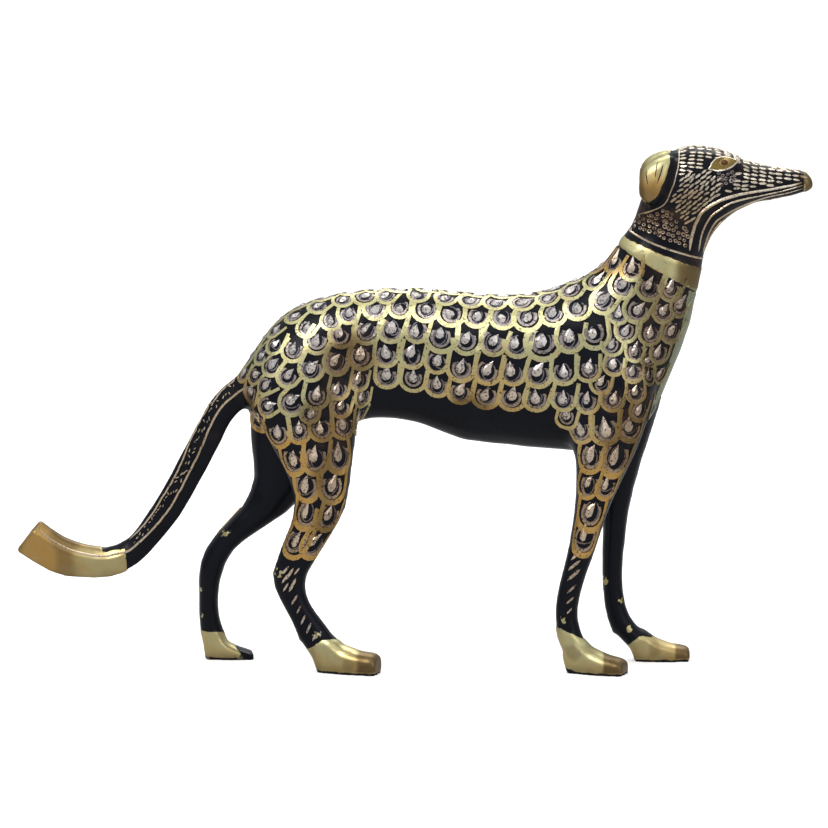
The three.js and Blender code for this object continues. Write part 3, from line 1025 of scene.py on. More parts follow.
    def draw_heels(self) -> None:
        """Draws the heels in towards the sole, as they are filed."""
        top, (behind, ahead) = self.heel_top, self.heel_reach
        for vertex in self.piece.data.vertices:
            x, z = vertex.co.x / MM, vertex.co.z / MM
            heel, drawn = self.heels[self.foot_at(vertex.co)]
            if z < top and heel - behind < x < heel + ahead:
                vertex.co.x += drawn * (1 - z / top) * min((heel + ahead - x) / ahead, 1.0) * MM

    def dint(self) -> None:
        """Leaves the slight dints of filing by hand all over, and rough scabs where the sand broke away."""
        normals = [vertex.normal.copy() for vertex in self.piece.data.vertices]
        # These grains put the dints about 8 mm apart, and the scabs' bumps about 2.4 mm.
        for vertex, normal in zip(self.piece.data.vertices, normals):
            height = self.dints * (noise.noise(vertex.co * self.dint_grain) - 0.35)
            for x, z, reach in self.flaws:
                away = math.dist((vertex.co.x / MM, vertex.co.z / MM), (x, z))
                if away < reach and vertex.co.y < self.midline:
                    height += self.scabs * (1 - away / reach) * noise.noise(vertex.co * self.scab_grain)
            vertex.co += normal * (height * MM)

    def collar_heights(self, x: float, z: float) -> tuple[float, float]:
        """Measures a point's place across the collar.

        Args:
            x: The point's x.
            z: The point's z.

        Returns:
            The distance above the collar's lower edge, and the gold band's width there.
        """
        x0, z0, x1, z1 = self.collar_low
        run = Vector((x1 - x0, z1 - z0)).normalized()
        above = Vector((x - x0, z - z0)).dot(Vector((-run.y, run.x)))
        share = min(max((x - self.nape_x) / (self.throat_x - self.nape_x), 0.0), 1.0)
        return above, self.gold_width[0] + share * (self.gold_width[1] - self.gold_width[0])

    def foot_at(self, place: Vector) -> str:
        """Names the foot nearest to a spot."""
        return ("left" if place.y > self.midline else "right") + ("_fore" if place.x > 0.02 else "_hind")

    def polish_at(self, place: Vector, normal: Vector) -> float:
        """Gives the distance in millimetres inside a part polished to bare brass, negative on lacquer.

        Args:
            place: The spot in metres.
            normal: The way it faces.

        Returns:
            The distance, from -3 to 3.
        """
        x, y, z = place.x / MM, (place.y - self.midline) / MM, place.z / MM
        # Each part is measured only in the stretch of the hound that holds it.
        parts = [-3.0]
        if z < 20:
            parts.append(side_distance(self.foot_bare[self.foot_at(place)], x, z))
        if x < -95:
            parts.append(self.tail_bare_x - 0.1 * (z - 42) - 9 * smoothstep(0.45, 0.7, normal.z) - x)
        if 70 < x < 120 and 135 < z < 175:
            above, width = self.collar_heights(x, z)
            parts.append(min(above, width - above))
        if 80 < x < 102 and 170 < z < 200:
            parts.append(min(side_distance(self.ear, x, z), abs(y) - 9.0 + 3 * smoothstep(184, 190, z)))
        if x > 66 and 84 < z < 150 and normal.x > 0:
            below_collar = -self.collar_heights(x, z)[0]
            width = self.breast_half * smoothstep(84, 108, z)
            parts.append(min(width - abs(y), (normal.x - 0.2) * 20, below_collar - 1.0, z - 84))
        if x > self.nose_bare_x - 0.4:
            parts.append(x - self.nose_bare_x)
        for side, worn_x, worn_z, reach in self.worn:
            if y * side.value > 0 and abs(x - worn_x) + abs(z - worn_z) < 8:
                ragged = 0.62 * reach * (0.7 + 1.7 * noise.noise(place * 900))
                parts.append(ragged - math.dist((x, z), (worn_x, worn_z)))
        return min(max(parts), 3.0)

    def mark_polish(self) -> None:
        """Writes the polish attribute that the casting's finish reads."""
        mesh = self.piece.data
        layer = mesh.attributes.new("polish", "FLOAT", "POINT")
        layer.data.foreach_set("value", [self.polish_at(v.co, v.normal) for v in mesh.vertices])


# Templates, modelled flat in millimetres


@dataclass(frozen=True)
class Hoop:
    """A flat U-shaped bar, open at the top, such as a scale's band or the bright ring inside it."""

    half_across: float
    half_down: float
    width: float
    proud: float
    cut: float
    arm: float
    corners: int = 18
    sunk: float = 0.35

    def model(self) -> bpy.types.Object:
        """Models the hoop from a disc: inset, opened, cut across, its arms drawn up, and made thick.

        Returns:
            The hoop, which stands proud and reaches a little into the skin.
        """
        select_only()
        bpy.ops.mesh.primitive_circle_add(vertices=self.corners, radius=self.half_across, fill_type="NGON")
        hoop = bpy.context.object
        edit_all()
        bpy.ops.transform.resize(value=(1.0, self.half_down / self.half_across, 1.0))
        bpy.ops.mesh.inset(thickness=self.width)
        bpy.ops.mesh.delete(type="FACE")
        bpy.ops.mesh.select_all(action="SELECT")
        bpy.ops.mesh.bisect(plane_co=(0, self.cut, 0), plane_no=(0, 1, 0), clear_outer=True)
        if self.arm > 0:
            pick_vertices(lambda co: co.y > self.cut - 1e-4)
            bpy.ops.mesh.extrude_region_move(TRANSFORM_OT_translate={"value": (0, self.arm, 0)})
        bpy.ops.object.mode_set(mode="OBJECT")
        apply_modifier(hoop, "SOLIDIFY", thickness=self.proud + self.sunk, offset=0.0)
        edit_all()
        bpy.ops.transform.translate(value=(0, 0, (self.proud - self.sunk) / 2))
        bpy.ops.mesh.normals_make_consistent(inside=False)
        bpy.ops.object.mode_set(mode="OBJECT")
        return hoop


@dataclass(frozen=True)
class Facet:
    """The slip of metal left in the middle of a scale by two chisel strokes: a drop-shaped low pyramid."""

    half_across: float = 2.9
    half_up: float = 3.2
    tip: float = 3.5
    proud: float = 0.75
    tip_aside: float = 0.9
    crest: tuple[float, float] = (-1.15, 0.2)
    corners: int = 9
    sunk: float = 0.4

    def model(self) -> bpy.types.Object:
        """Models the facet from a cone: flattened, its upper end drawn to a tip, its crest pushed aside.

        Returns:
            The facet.
        """
        select_only()
        bpy.ops.mesh.primitive_cone_add(
            vertices=self.corners,
            radius1=1.0,
            radius2=0.0,
            depth=self.proud + self.sunk,
            end_fill_type="NGON",
        )
        facet = bpy.context.object
        edit_all()
        bpy.ops.transform.resize(value=(self.half_across, self.half_up, 1.0))
        bpy.ops.transform.translate(value=(0, 0, (self.proud - self.sunk) / 2))
        pick_vertices(lambda co: co.y > 0.9 * self.half_up)
        bpy.ops.transform.translate(value=(self.tip_aside, self.tip, 0))
        pick_vertices(lambda co: co.z > self.proud - 0.01)
        bpy.ops.transform.translate(value=(*self.crest, 0))
        bpy.ops.object.mode_set(mode="OBJECT")
        return facet


@dataclass(frozen=True)
class Stroke:
    """One short cut of a hair chisel, thick in the middle and thin at its ends."""

    length: float
    width: float
    proud: float = 0.3
    sunk: float = 0.35
    top: tuple[float, float] = (0.6, 0.88)

    def model(self) -> bpy.types.Object:
        """Models the stroke from a six-sided slug, with its top drawn in.

        Returns:
            The stroke.
        """
        select_only()
        bpy.ops.mesh.primitive_cylinder_add(
            vertices=6, radius=1.0, depth=self.proud + self.sunk, end_fill_type="NGON"
        )
        stroke = bpy.context.object
        edit_all()
        bpy.ops.transform.resize(value=(self.width / 1.75, self.length / 2, 1.0))
        bpy.ops.transform.translate(value=(0, 0, (self.proud - self.sunk) / 2))
        pick_vertices(lambda co: co.z > 0)
        bpy.ops.transform.resize(value=(*self.top, 1.0))
        bpy.ops.object.mode_set(mode="OBJECT")
        return stroke


@dataclass(frozen=True)
class Ringlet:
    """A small ring struck with a hollow punch."""

    radius: float = 0.55
    wire: float = 0.26
    pressed: tuple[float, float, float] = (1.0, 1.15, 0.9)

    def model(self) -> bpy.types.Object:
        """Models the ringlet from a ring, pressed a little flat.

        Returns:
            The ringlet.
        """
        select_only()
        bpy.ops.mesh.primitive_torus_add(
            major_segments=8, minor_segments=5, major_radius=self.radius, minor_radius=self.wire
        )
        ringlet = bpy.context.object
        edit_all()
        bpy.ops.transform.resize(value=self.pressed)
        bpy.ops.object.mode_set(mode="OBJECT")
        return ringlet


# The coat of scales


@dataclass
class Coat:
    """The scales of the coat and legs.

    Each has a raised band round it, a dull ring inside that, a thin burr in the ring and a facet in it all.
    """

    skin: Skin
    casting: Casting
    pitch: float = 9.3
    smallest: float = 0.74
    largest: float = 1.18
    sway: float = 7.0
    spread: float = 0.05
    band: Hoop = Hoop(half_across=5.65, half_down=5.6, width=1.6, proud=0.42, cut=0.4, arm=5.8)
    ring: Hoop = Hoop(half_across=3.75, half_down=4.0, width=0.95, proud=0.34, cut=2.2, arm=0.0, corners=18)
    burr: Hoop = Hoop(half_across=2.5, half_down=3.3, width=0.42, proud=0.25, cut=2.6, arm=0.0, corners=12)
    facet: Facet = Facet()
    lean: float = 14.0
    rump_lean: float = 22.0
    leg_top: float = 84.0
    leg_size: float = 0.94
    leg_tall: float = 1.22
    collar_room: float = 3.6
    room: float = 7.0
    step: float = 1.3
    row: float = 3.5
    crowd: float = 14.0
    arm_step: float = 0.3
    meet: float = 1.15
    reach: tuple[float, float, float, float] = (-66.0, 106.0, 78.0, 154.0)

    def places(self, gouges: Iterable[tuple[Vector, Vector, Vector]]) -> list[Place]:
        """Turns each gouge into a scale's place, as large as its neighbours leave room for.

        Args:
            gouges: The gouges' middles, normals and tips.

        Returns:
            The places.
        """
        gouges = list(gouges)
        chance = random.Random(SEED)
        for side in Side:
            gouges.extend(self.fill(gouges, side))
        places = []
        for point, normal, tip in gouges:
            tip = self.hang(point, normal, tip)
            gaps = sorted((point - other).length for other, _, _ in gouges)[1:4]
            size = min(max(sum(gaps) / len(gaps) / MM / self.pitch, self.smallest), self.largest)
            foot, out, _, _ = self.skin.tree.find_nearest(point)
            out = (out + normal).normalized()
            place = self.skin.place(foot, out, tip, size)
            if foot.z < self.leg_top * MM:
                place = replace(place, size=size * self.leg_size, tall=self.leg_tall)
            turn = chance.gauss(0, self.sway)
            places.append(place.turned(turn, 1 + chance.gauss(0, self.spread)))
        LOG.info("%d scales", len(places))
        return places

    def hang(self, point: Vector, normal: Vector, tip: Vector) -> Vector:
        """Gives the way a scale's open end points: up and forwards, and straight forwards along the back.

        Args:
            point: The scale's middle.
            normal: The way the skin faces there.
            tip: The way that its gouge points, or nothing where it has no gouge.

        Returns:
            The direction, the gouge's own where that is near enough.
        """
        on_rump = smoothstep(-30, -58, point.x / MM) * smoothstep(84, 96, point.z / MM)
        lean = math.radians(self.lean + self.rump_lean * on_rump)
        wanted = Vector((math.sin(lean), 0, math.cos(lean)))
        wanted -= normal * wanted.dot(normal)
        if wanted.length < 0.4:
            return Vector((1, 0, 0))
        wanted.normalize()
        return tip if tip.dot(wanted) > 0.8 else wanted

    def fill(
        self, gouges: Sequence[tuple[Vector, Vector, Vector]], side: Side
    ) -> list[tuple[Vector, Vector, Vector]]:
        """Finds places for more scales between the gouged ones on a flank, as closely packed as they go.

        Args:
            gouges: The scales that are there.
            side: The flank.

        Returns:
            The added places, like gouges.
        """
        near = [g[0] for g in gouges if (g[0].y - self.skin.midline) * side.value > -6 * MM]
        spots = []
        left, right, low, high = self.reach
        for i in range(int((right - left) / self.step)):
            for j in range(int((high - low) / self.step)):
                found = self.skin.seen(left + i * self.step, low + j * self.step, side)
                if found is None or not self.covers(*found, near):
                    continue
                gap = min((found[0] - other).length for other in near)
                if gap > self.room * MM:
                    spots.append([gap, *found])
        added = []
        while spots:
            _, point, normal = min(spots, key=lambda spot: spot[0])
            added.append((point, normal, Vector((0, 0, 0))))
            for spot in spots:
                spot[0] = min(spot[0], (spot[1] - point).length)
            spots = [spot for spot in spots if spot[0] > self.room * MM]
        return added

    def covers(self, point: Vector, normal: Vector, near: Sequence[Vector]) -> bool:
        """Tells whether the coat covers a spot: off the polished parts and above the lowest scales by it.

        Args:
            point: The spot.
            normal: The way the skin faces there.
            near: The middles of the scales that are there.

        Returns:
            Whether a scale may lie there.
        """
        if self.casting.polish_at(point, normal) > -1.5 or point.z < self.leg_top * MM:
            return False
        above_collar, _ = self.casting.collar_heights(point.x / MM, point.z / MM)
        if above_collar > -self.collar_room and point.z > 120 * MM:
            return False
        lowest = [p.z for p in near if abs(p.x - point.x) < 7 * MM and p.z > self.leg_top * MM]
        return bool(lowest) and point.z > min(lowest) - 1 * MM

    def encloses(self, place: Place, spot: Vector) -> bool:
        """Tells whether a spot lies inside a scale's band.

        Args:
            place: The scale's place.
            spot: The spot, in metres.

        Returns:
            Whether it lies further in than just past the band's inner edge.
        """
        way = (spot - place.point) / (MM * place.size)
        edge = self.meet * self.band.width
        across = abs(way.dot(place.across)) / (self.band.half_across - edge)
        up = way.dot(place.up) / place.tall / (self.band.half_down - edge)
        return math.hypot(across, up) < 1 if up < 0 else across < 1 and up < 0.7

    def trim(self, places: Sequence[Place]) -> Callable[[Place, Vector], Vector]:
        """Ends each arm of each band where it meets the band of another scale.

        Args:
            places: Where the bands go.

        Returns:
            A function that gives where a point of the band's template goes at a place.
        """
        ends = {}
        top = self.band.cut + self.band.arm
        for index, place in enumerate(places):
            # Of two arms side by side in one row only the second gives way, so one still parts the scales.
            near = [
                p
                for other, p in enumerate(places)
                if other != index
                and (p.point - place.point).length < self.crowd * MM
                and (other < index or abs((p.point - place.point).dot(place.up)) > self.row * MM)
            ]
            for side in (-1, 1):
                x, y = (self.band.half_across - self.band.width / 2) * side, self.band.cut
                while y < top - self.arm_step:
                    spot = self.skin.bend(place, Vector((x, y + self.arm_step, 0)))
                    if any(self.encloses(other, spot) for other in near):
                        break
                    y += self.arm_step
                ends[id(place), side] = max(y, self.band.cut + 0.2)

        def fit(place: Place, local: Vector) -> Vector:
            """Brings the end of an arm down to where it meets another band."""
            end = ends[id(place), 1 if local.x > 0 else -1]
            return Vector((local.x, end, local.z)) if local.y > top - 0.01 else local

        return fit

    def build(self, places: Sequence[Place]) -> dict[str, bpy.types.Object]:
        """Lays the bands, rings, burrs and facets, each a little off the scale's middle and turned a little.

        Args:
            places: The scales' places.

        Returns:
            The pieces by name.
        """
        chance = random.Random(SEED + 1)
        pieces = {}
        for name, template, jitter, turn in (
            ("scale_bands", self.band, 0.12, 3.0),
            ("scale_rings", self.ring, 0.3, 9.0),
            ("scale_burrs", self.burr, 0.35, 28.0),
            ("scale_facets", self.facet, 0.4, 14.0),
        ):
            model = template.model()
            spots = [
                p.moved(chance.gauss(0, jitter), chance.gauss(0, jitter)).turned(
                    chance.gauss(0, turn), 1 + chance.gauss(0, 0.05)
                )
                for p in places
            ]
            fit = self.trim(spots) if template is self.band else None
            pieces[name] = self.skin.lay(model, spots, name, fit)
            drop(model)
        return pieces


# The head


@dataclass(frozen=True)
class HairPatch:
    """A field of short strokes, traced on the right flank and mirrored on the left."""

    outline: Outline
    lean: float
    pitch: float = 3.5
    row: float = 1.5
    brick: float = 0.0
    jitter: float = 0.16
    size: float = 1.0

    def spots(self, chance: random.Random) -> list[tuple[float, float]]:
        """Lists the strokes' middles in the view, in rows that lie along the strokes.

        Args:
            chance: Where the unevenness of hand work comes from.

        Returns:
            The middles, across and up the view.
        """
        turn = math.radians(self.lean)
        run, rise = Vector((math.cos(turn), math.sin(turn))), Vector((-math.sin(turn), math.cos(turn)))
        middle = sum((Vector(p) for p in self.outline), Vector((0, 0))) / len(self.outline)
        reach = max((Vector(p) - middle).length for p in self.outline)
        rows = math.ceil(reach / self.row)
        columns = math.ceil(reach / self.pitch)
        spots = []
        for j in range(-rows, rows + 1):
            for i in range(-columns, columns + 1):
                along_run = (i + self.brick * (j % 2)) * self.pitch + chance.gauss(0, self.jitter)
                spot = middle + run * along_run + rise * (j * self.row + chance.gauss(0, self.jitter / 2))
                if side_distance(self.outline, spot.x, spot.y) > 0.3:
                    spots.append((spot.x, spot.y))
        return spots


@dataclass
class Head:
    """The chased head: hair strokes, ringlets, mouth and throat ridges, eyes and the lines about the ears."""

    skin: Skin
    hair: Stroke = Stroke(length=3.1, width=1.12)
    ringlet: Ringlet = Ringlet()
    patches: tuple[HairPatch, ...] = (
        HairPatch(
            outline=(
                (100.3, 198.4), (108.0, 200.0), (116.0, 198.0), (122.5, 194.8), (117.0, 195.6),
                (113.2, 193.7), (110.4, 190.4), (109.4, 187.8), (99.8, 185.2),
            ),
            lean=-5.0,
            pitch=3.15,
            row=1.42,
        ),
        HairPatch(
            outline=(
                (122.8, 196.0), (128.5, 193.4), (137.9, 192.0), (147.0, 189.4), (147.0, 184.0),
                (137.9, 182.2), (128.5, 180.8), (121.9, 179.6), (117.2, 178.6), (116.0, 180.2),
                (119.6, 181.6), (121.2, 184.4), (121.2, 187.4), (122.4, 190.2),
            ),
            lean=-6.0,
            pitch=3.15,
            row=1.38,
            size=1.1,
        ),
        HairPatch(
            outline=(
                (99.2, 185.6), (108.4, 187.6), (111.0, 187.0), (115.4, 186.0), (114.9, 181.4),
                (116.0, 178.2), (110.0, 175.2), (107.0, 172.5), (105.0, 169.2), (103.6, 165.9),
                (101.6, 167.4), (99.3, 170.2), (96.9, 173.4), (97.0, 178.0), (98.6, 182.0),
            ),
            lean=38.0,
            pitch=2.8,
            row=1.4,
            brick=0.5,
            jitter=0.24,
            size=1.05,
        ),
    )
    curls: HairPatch = HairPatch(
        outline=(
            (112.4, 187.0), (116.4, 186.6), (121.6, 187.4), (121.2, 184.0), (119.0, 181.8),
            (116.0, 180.8), (114.2, 182.6),
        ),
        lean=20.0,
        pitch=1.8,
        row=1.5,
        brick=0.5,
        jitter=0.3,
    )
    nape: HairPatch = HairPatch(
        outline=(
            (80.0, 171.4), (88.1, 171.0), (92.8, 172.6), (95.6, 173.8), (98.4, 170.2), (101.8, 166.6),
            (103.6, 164.5), (103.4, 157.8), (100.3, 158.6), (93.7, 161.4), (87.6, 163.8), (80.0, 165.6),
        ),
        lean=-22.0,
        pitch=2.0,
        row=1.8,
        brick=0.5,
        jitter=0.34,
    )
    ridges: tuple[tuple[Outline, float], ...] = (
        (
            (
                (146.4, 183.2), (142.1, 182.0), (137.9, 181.2), (133.2, 180.3), (128.5, 179.6),
                (122.8, 178.6), (119.1, 177.6), (116.2, 176.7), (113.7, 175.6), (111.5, 174.4),
                (109.7, 173.1), (108.3, 172.0), (107.2, 170.5), (106.4, 168.7), (105.5, 166.9),
                (105.0, 165.0), (104.4, 162.9), (104.0, 160.8), (103.6, 157.6),
            ),
            0.74,
        ),
        (
            (
                (146.5, 182.1), (138.3, 179.8), (130.3, 178.1), (123.8, 176.7), (118.6, 175.1),
                (114.4, 172.5), (111.5, 170.2), (109.2, 166.4), (107.8, 162.2), (107.1, 157.3),
            ),
            0.52,
        ),
        (
            (
                (146.8, 181.0), (140.2, 179.1), (133.2, 177.7), (126.6, 175.6), (121.4, 173.4),
                (117.2, 171.1), (113.4, 168.3), (111.1, 164.5), (109.7, 160.3), (108.7, 156.3),
            ),
            0.56,
        ),
        (
            (
                (147.3, 179.9), (141.1, 178.1), (133.6, 176.7), (127.5, 174.6), (122.8, 172.5),
                (119.1, 170.6), (115.3, 168.3), (112.0, 164.0), (110.4, 158.9),
            ),
            0.52,
        ),
        (
            (
                (142.6, 177.7), (134.1, 175.8), (128.0, 173.6), (122.8, 171.1), (118.1, 168.7),
                (114.4, 165.5), (111.8, 160.3),
            ),
            0.52,
        ),
    )
    ear_line: Outline = (
        (99.6, 193.0), (99.5, 191.8), (99.1, 188.5), (98.4, 185.7), (97.7, 182.8), (97.0, 181.0),
        (96.0, 178.6), (95.1, 176.3), (93.5, 174.4), (90.9, 173.0), (87.6, 171.8), (84.3, 171.1),
    )
    folds: tuple[Outline, ...] = (
        ((88.5, 192.6), (87.4, 188.9), (87.1, 185.7), (87.8, 181.6)),
        ((91.6, 191.8), (90.9, 188.0), (90.4, 184.2)),
        ((93.6, 190.4), (92.6, 186.6), (91.0, 182.0)),
        ((86.6, 191.0), (85.7, 188.5), (85.4, 184.7)),
    )

    ear_radius: float = 0.36
    over_steps: int = 20
    crest_columns: int = 14
    crest_half: int = 5
    crest_tilt: float = 0.35
    crest_end: float = 145.5
    crest_x: float = 100.5
    crest_pitch: float = 3.5
    crest_row: float = 1.6
    crest_room: float = 1.7

    def trace(self, points: Outline, side: Side) -> list[Vector]:
        """Carries a traced line onto one flank, and onto the middle where the view looks past the flank.

        Args:
            points: The line, across and up the view.
            side: The flank.

        Returns:
            The line's points on the skin.
        """
        spots = []
        for across, up in smooth_line(points, 1.1):
            spot = self.skin.seen(across, up, side, loose=True)[0]
            if (spot.y - self.skin.midline) * side.value < 0:
                spot = self.skin.tree.find_nearest(Vector((spot.x, self.skin.midline, spot.z)))[0]
            spots.append(spot)
        return spots

    def crease(self, points: Outline, side: Side) -> bpy.types.Object:
        """Cuts a crease in an ear, as far up as the view shows the ear."""
        spots = [p for p in self.trace(points, side) if abs(p.y - self.skin.midline) > 6 * MM]
        return self.skin.bead(spots, 0.3, "fold", sunk=0.5)

    def ear_way(self) -> list[Vector]:
        """Finds the line that runs up behind one ear, over the skull and down behind the other.

        Returns:
            The line's points on the skin.
        """
        right, left = (self.trace(self.ear_line, side) for side in Side)
        top = right[0].lerp(left[0], 0.5)
        half = (left[0] - right[0]).length / 2
        over = []
        for step in range(1, self.over_steps):
            turn = math.pi * step / self.over_steps
            way = Vector((0, -math.cos(turn) * half, math.sin(turn) * half))
            over.append(self.skin.towards(top, way)[0])
        return [*reversed(right), *over, *left]

    def strokes(self, patch: HairPatch, chance: random.Random) -> list[Place]:
        """Lists the places of a patch's strokes on both flanks.

        Args:
            patch: The patch.
            chance: Where the unevenness of hand work comes from.

        Returns:
            The places.
        """
        way = self.skin.view.way(patch.lean)
        places = []
        for across, up in patch.spots(chance):
            for side in Side:
                found = self.skin.seen(across, up, side)
                if found is None:
                    continue
                lie = self.skin.on_flank(way, side)
                place = self.skin.place(*found, lie, patch.size + chance.gauss(0, 0.09))
                places.append(place.turned(chance.gauss(0, 7)))
        return places

    def crest(self, laid: Sequence[Place], chance: random.Random) -> list[Place]:
        """Lists strokes for the top of the skull and muzzle, wherever the side patches left room.

        Args:
            laid: The places of the strokes on the sides.
            chance: Where the unevenness of hand work comes from.

        Returns:
            The places.
        """
        taken = [place.point for place in laid]
        places = []
        for i in range(self.crest_columns):
            for j in range(-self.crest_half, self.crest_half + 1):
                x, aside = self.crest_x + self.crest_pitch * i, self.crest_row * j
                inner = Vector((x * MM, self.skin.midline + aside * MM, 0.17))
                point, normal = self.skin.towards(inner, Vector((0, 0, 1)))
                if normal.z < self.crest_tilt or point.x / MM > self.crest_end:
                    continue
                if min((point - other).length for other in taken) < self.crest_room * MM:
                    continue
                place = self.skin.place(point, normal, Vector((1, 0, 0)), 1.05 + chance.gauss(0, 0.08))
                places.append(place.turned(chance.gauss(0, 6)))
        return places

    def build(self) -> dict[str, bpy.types.Object]:
        """Lays everything on the head.

        Returns:
            The pieces by name.
        """
        chance = random.Random(SEED + 2)
        hair = self.hair.model()
        ring = self.ringlet.model()
        spots = [place for patch in self.patches for place in self.strokes(patch, chance)]
        spots.extend(self.crest(spots, chance))
        pieces = {
            "head_hair": self.skin.lay(hair, spots, "head_hair"),
            "nape_ringlets": self.skin.lay(ring, self.strokes(self.nape, chance), "nape_ringlets"),
            "eye_curls": self.skin.lay(ring, self.strokes(self.curls, chance), "eye_curls"),
        }
        beads = []
        for side in Side:
            for points, radius in self.ridges:
                beads.append(self.skin.bead(self.trace(points, side), radius, "ridge", start=0.55))
        beads.append(self.skin.bead(self.ear_way(), self.ear_radius, "ridge"))
        pieces["head_ridges"] = join(beads, "head_ridges")
        creases = [self.crease(points, side) for side in Side for points in self.folds]
        pieces["ear_creases"] = join(creases, "ear_creases")
        drop(hair)
        drop(ring)
        return pieces


@dataclass
class Eye:
    """An almond eye with a raised rim, an iris ring and a pupil, one on each side of the head."""

    skin: Skin
    middle: tuple[float, float] = (116.4, 190.2)
    lean: float = 20.8
    half_long: float = 5.4
    half_high: float = 3.1
    corner: float = 1.1
    rim: float = 0.55
    proud: float = 0.45
    sunk: float = 0.8
    iris: float = 1.95
    ring: float = 1.677
    pupil: float = 0.95
    bulge: float = 0.25
    worn_edge: float = 0.86
    lid_line: float = 0.36
    lid_sunk: float = -0.9

    def almond(self) -> bpy.types.Object:
        """Models the lids and the eyeball from a disc drawn out at its corners.

        Returns:
            The almond, with its middle raised inside the lids.
        """
        select_only()
        bpy.ops.mesh.primitive_circle_add(vertices=24, radius=self.half_long, fill_type="NGON")
        eye = bpy.context.object
        edit_all()
        bpy.ops.transform.resize(value=(1.0, self.half_high / self.half_long, 1.0))
        for end in (-1, 1):
            pick_vertices(lambda co: co.x * end > self.half_long * 0.99)
            bpy.ops.transform.translate(value=(end * self.corner, 0, 0))
        bpy.ops.mesh.select_all(action="SELECT")
        bpy.ops.transform.translate(value=(0, 0, -self.sunk))
        bpy.ops.mesh.extrude_region_move(TRANSFORM_OT_translate={"value": (0, 0, self.sunk + self.proud)})
        bpy.ops.mesh.inset(thickness=self.rim)
        bpy.ops.transform.translate(value=(0, 0, self.bulge))
        bpy.ops.mesh.select_all(action="SELECT")
        bpy.ops.mesh.normals_make_consistent(inside=False)
        bpy.ops.object.mode_set(mode="OBJECT")
        return eye

    def disc(self, radius: float, top: float) -> bpy.types.Object:
        """Models a flat round plug with a softened edge.

        Args:
            radius: Its radius.
            top: The height of its top over the skin.

        Returns:
            The plug.
        """
        select_only()
        bpy.ops.mesh.primitive_cylinder_add(vertices=20, radius=radius, depth=top + self.sunk)
        plug = bpy.context.object
        edit_all()
        bpy.ops.transform.translate(value=(0, 0, (top - self.sunk) / 2))
        pick_vertices(lambda co: co.z > 0)
        bpy.ops.transform.resize(value=(self.worn_edge, self.worn_edge, 1.0))
        bpy.ops.object.mode_set(mode="OBJECT")
        return plug

    def build(self) -> dict[str, bpy.types.Object]:
        """Lays an eye on both sides of the head.

        Returns:
            The pieces by name.
        """
        way = self.skin.view.way(self.lean + 90)
        places = []
        for side in Side:
            places.append(self.skin.place(*self.skin.seen(*self.middle, side), self.skin.on_flank(way, side)))
        models = {
            "eye_lids": self.almond(),
            "eye_irises": self.disc(self.iris, self.proud - 0.02),
            "eye_rings": self.disc(self.ring, self.proud + 0.07),
            "eye_pupils": self.disc(self.pupil, self.proud + 0.16),
        }
        edge = [v.co.copy() for v in models["eye_lids"].data.vertices if abs(v.co.z - self.proud) < 0.01]
        edge.sort(key=lambda co: math.atan2(co.y, co.x))
        rims = []
        for place in places:
            points = [self.skin.bend(place, co) for co in edge]
            rims.append(self.skin.bead(points, self.lid_line, "rim", self.lid_sunk, closed=True))
        pieces = {"eye_rims": join(rims, "eye_rims")}
        for name, model in models.items():
            pieces[name] = self.skin.lay(model, places, name)
            drop(model)
        return pieces


# Collar, tail and legs


@dataclass
class Collar:
    """The polished collar: a thin bead above its black line and a few long scratches in the gold."""

    skin: Skin
    casting: Casting
    bead_above: float = 3.2
    bead_radius: float = 0.42
    scratch_radius: float = 0.17
    steps: int = 56
    scratches: tuple[tuple[float, float, float, float], ...] = (
        (94.6, 152.9, -32.0, 6.6),
        (86.0, 157.4, -26.0, 5.0),
        (101.5, 149.6, -33.0, 4.2),
        (81.6, 159.4, -22.0, 3.4),
        (91.0, 156.6, -29.0, 2.4),
    )

    def ring(self, above_gold: float) -> list[Vector]:
        """Finds a closed line round the neck.

        Args:
            above_gold: How far the line runs above the gold band.

        Returns:
            The line's points on the skin.
        """
        x0, z0, x1, z1 = self.casting.collar_low
        run = Vector((x1 - x0, 0, z1 - z0)).normalized()
        out = Vector((-run.z, 0, run.x))
        middle = Vector(((x0 + x1) / 2, self.skin.midline / MM, (z0 + z1) / 2))
        width = sum(self.casting.gold_width) / 2
        slope = (self.casting.gold_width[1] - self.casting.gold_width[0]) / 2
        points = []
        for step in range(self.steps):
            turn = math.tau * step / self.steps
            way = run * math.cos(turn) + Vector((0, math.sin(turn), 0))
            inner = middle + out * (width + slope * math.cos(turn) + above_gold)
            points.append(self.skin.towards(inner * MM, way)[0])
        return points

    def build(self) -> dict[str, bpy.types.Object]:
        """Lays the bead and the scratches.

        Returns:
            The pieces by name.
        """
        scratches = []
        for across, up, lean, length in self.scratches:
            for side in Side:
                half = self.skin.on_flank(self.skin.view.way(lean), side) * (length / 2 * MM)
                middle = self.skin.seen(across, up, side, loose=True)[0]
                points = [middle + half * share for share in (-1, -0.5, 0, 0.5, 1)]
                scratches.append(self.skin.bead(points, self.scratch_radius, "scratch", sunk=0.6))
        ring = self.ring(self.bead_above)
        return {
            "collar_bead": self.skin.bead(ring, self.bead_radius, "collar_bead", closed=True),
            "collar_scratches": join(scratches, "collar_scratches"),
        }


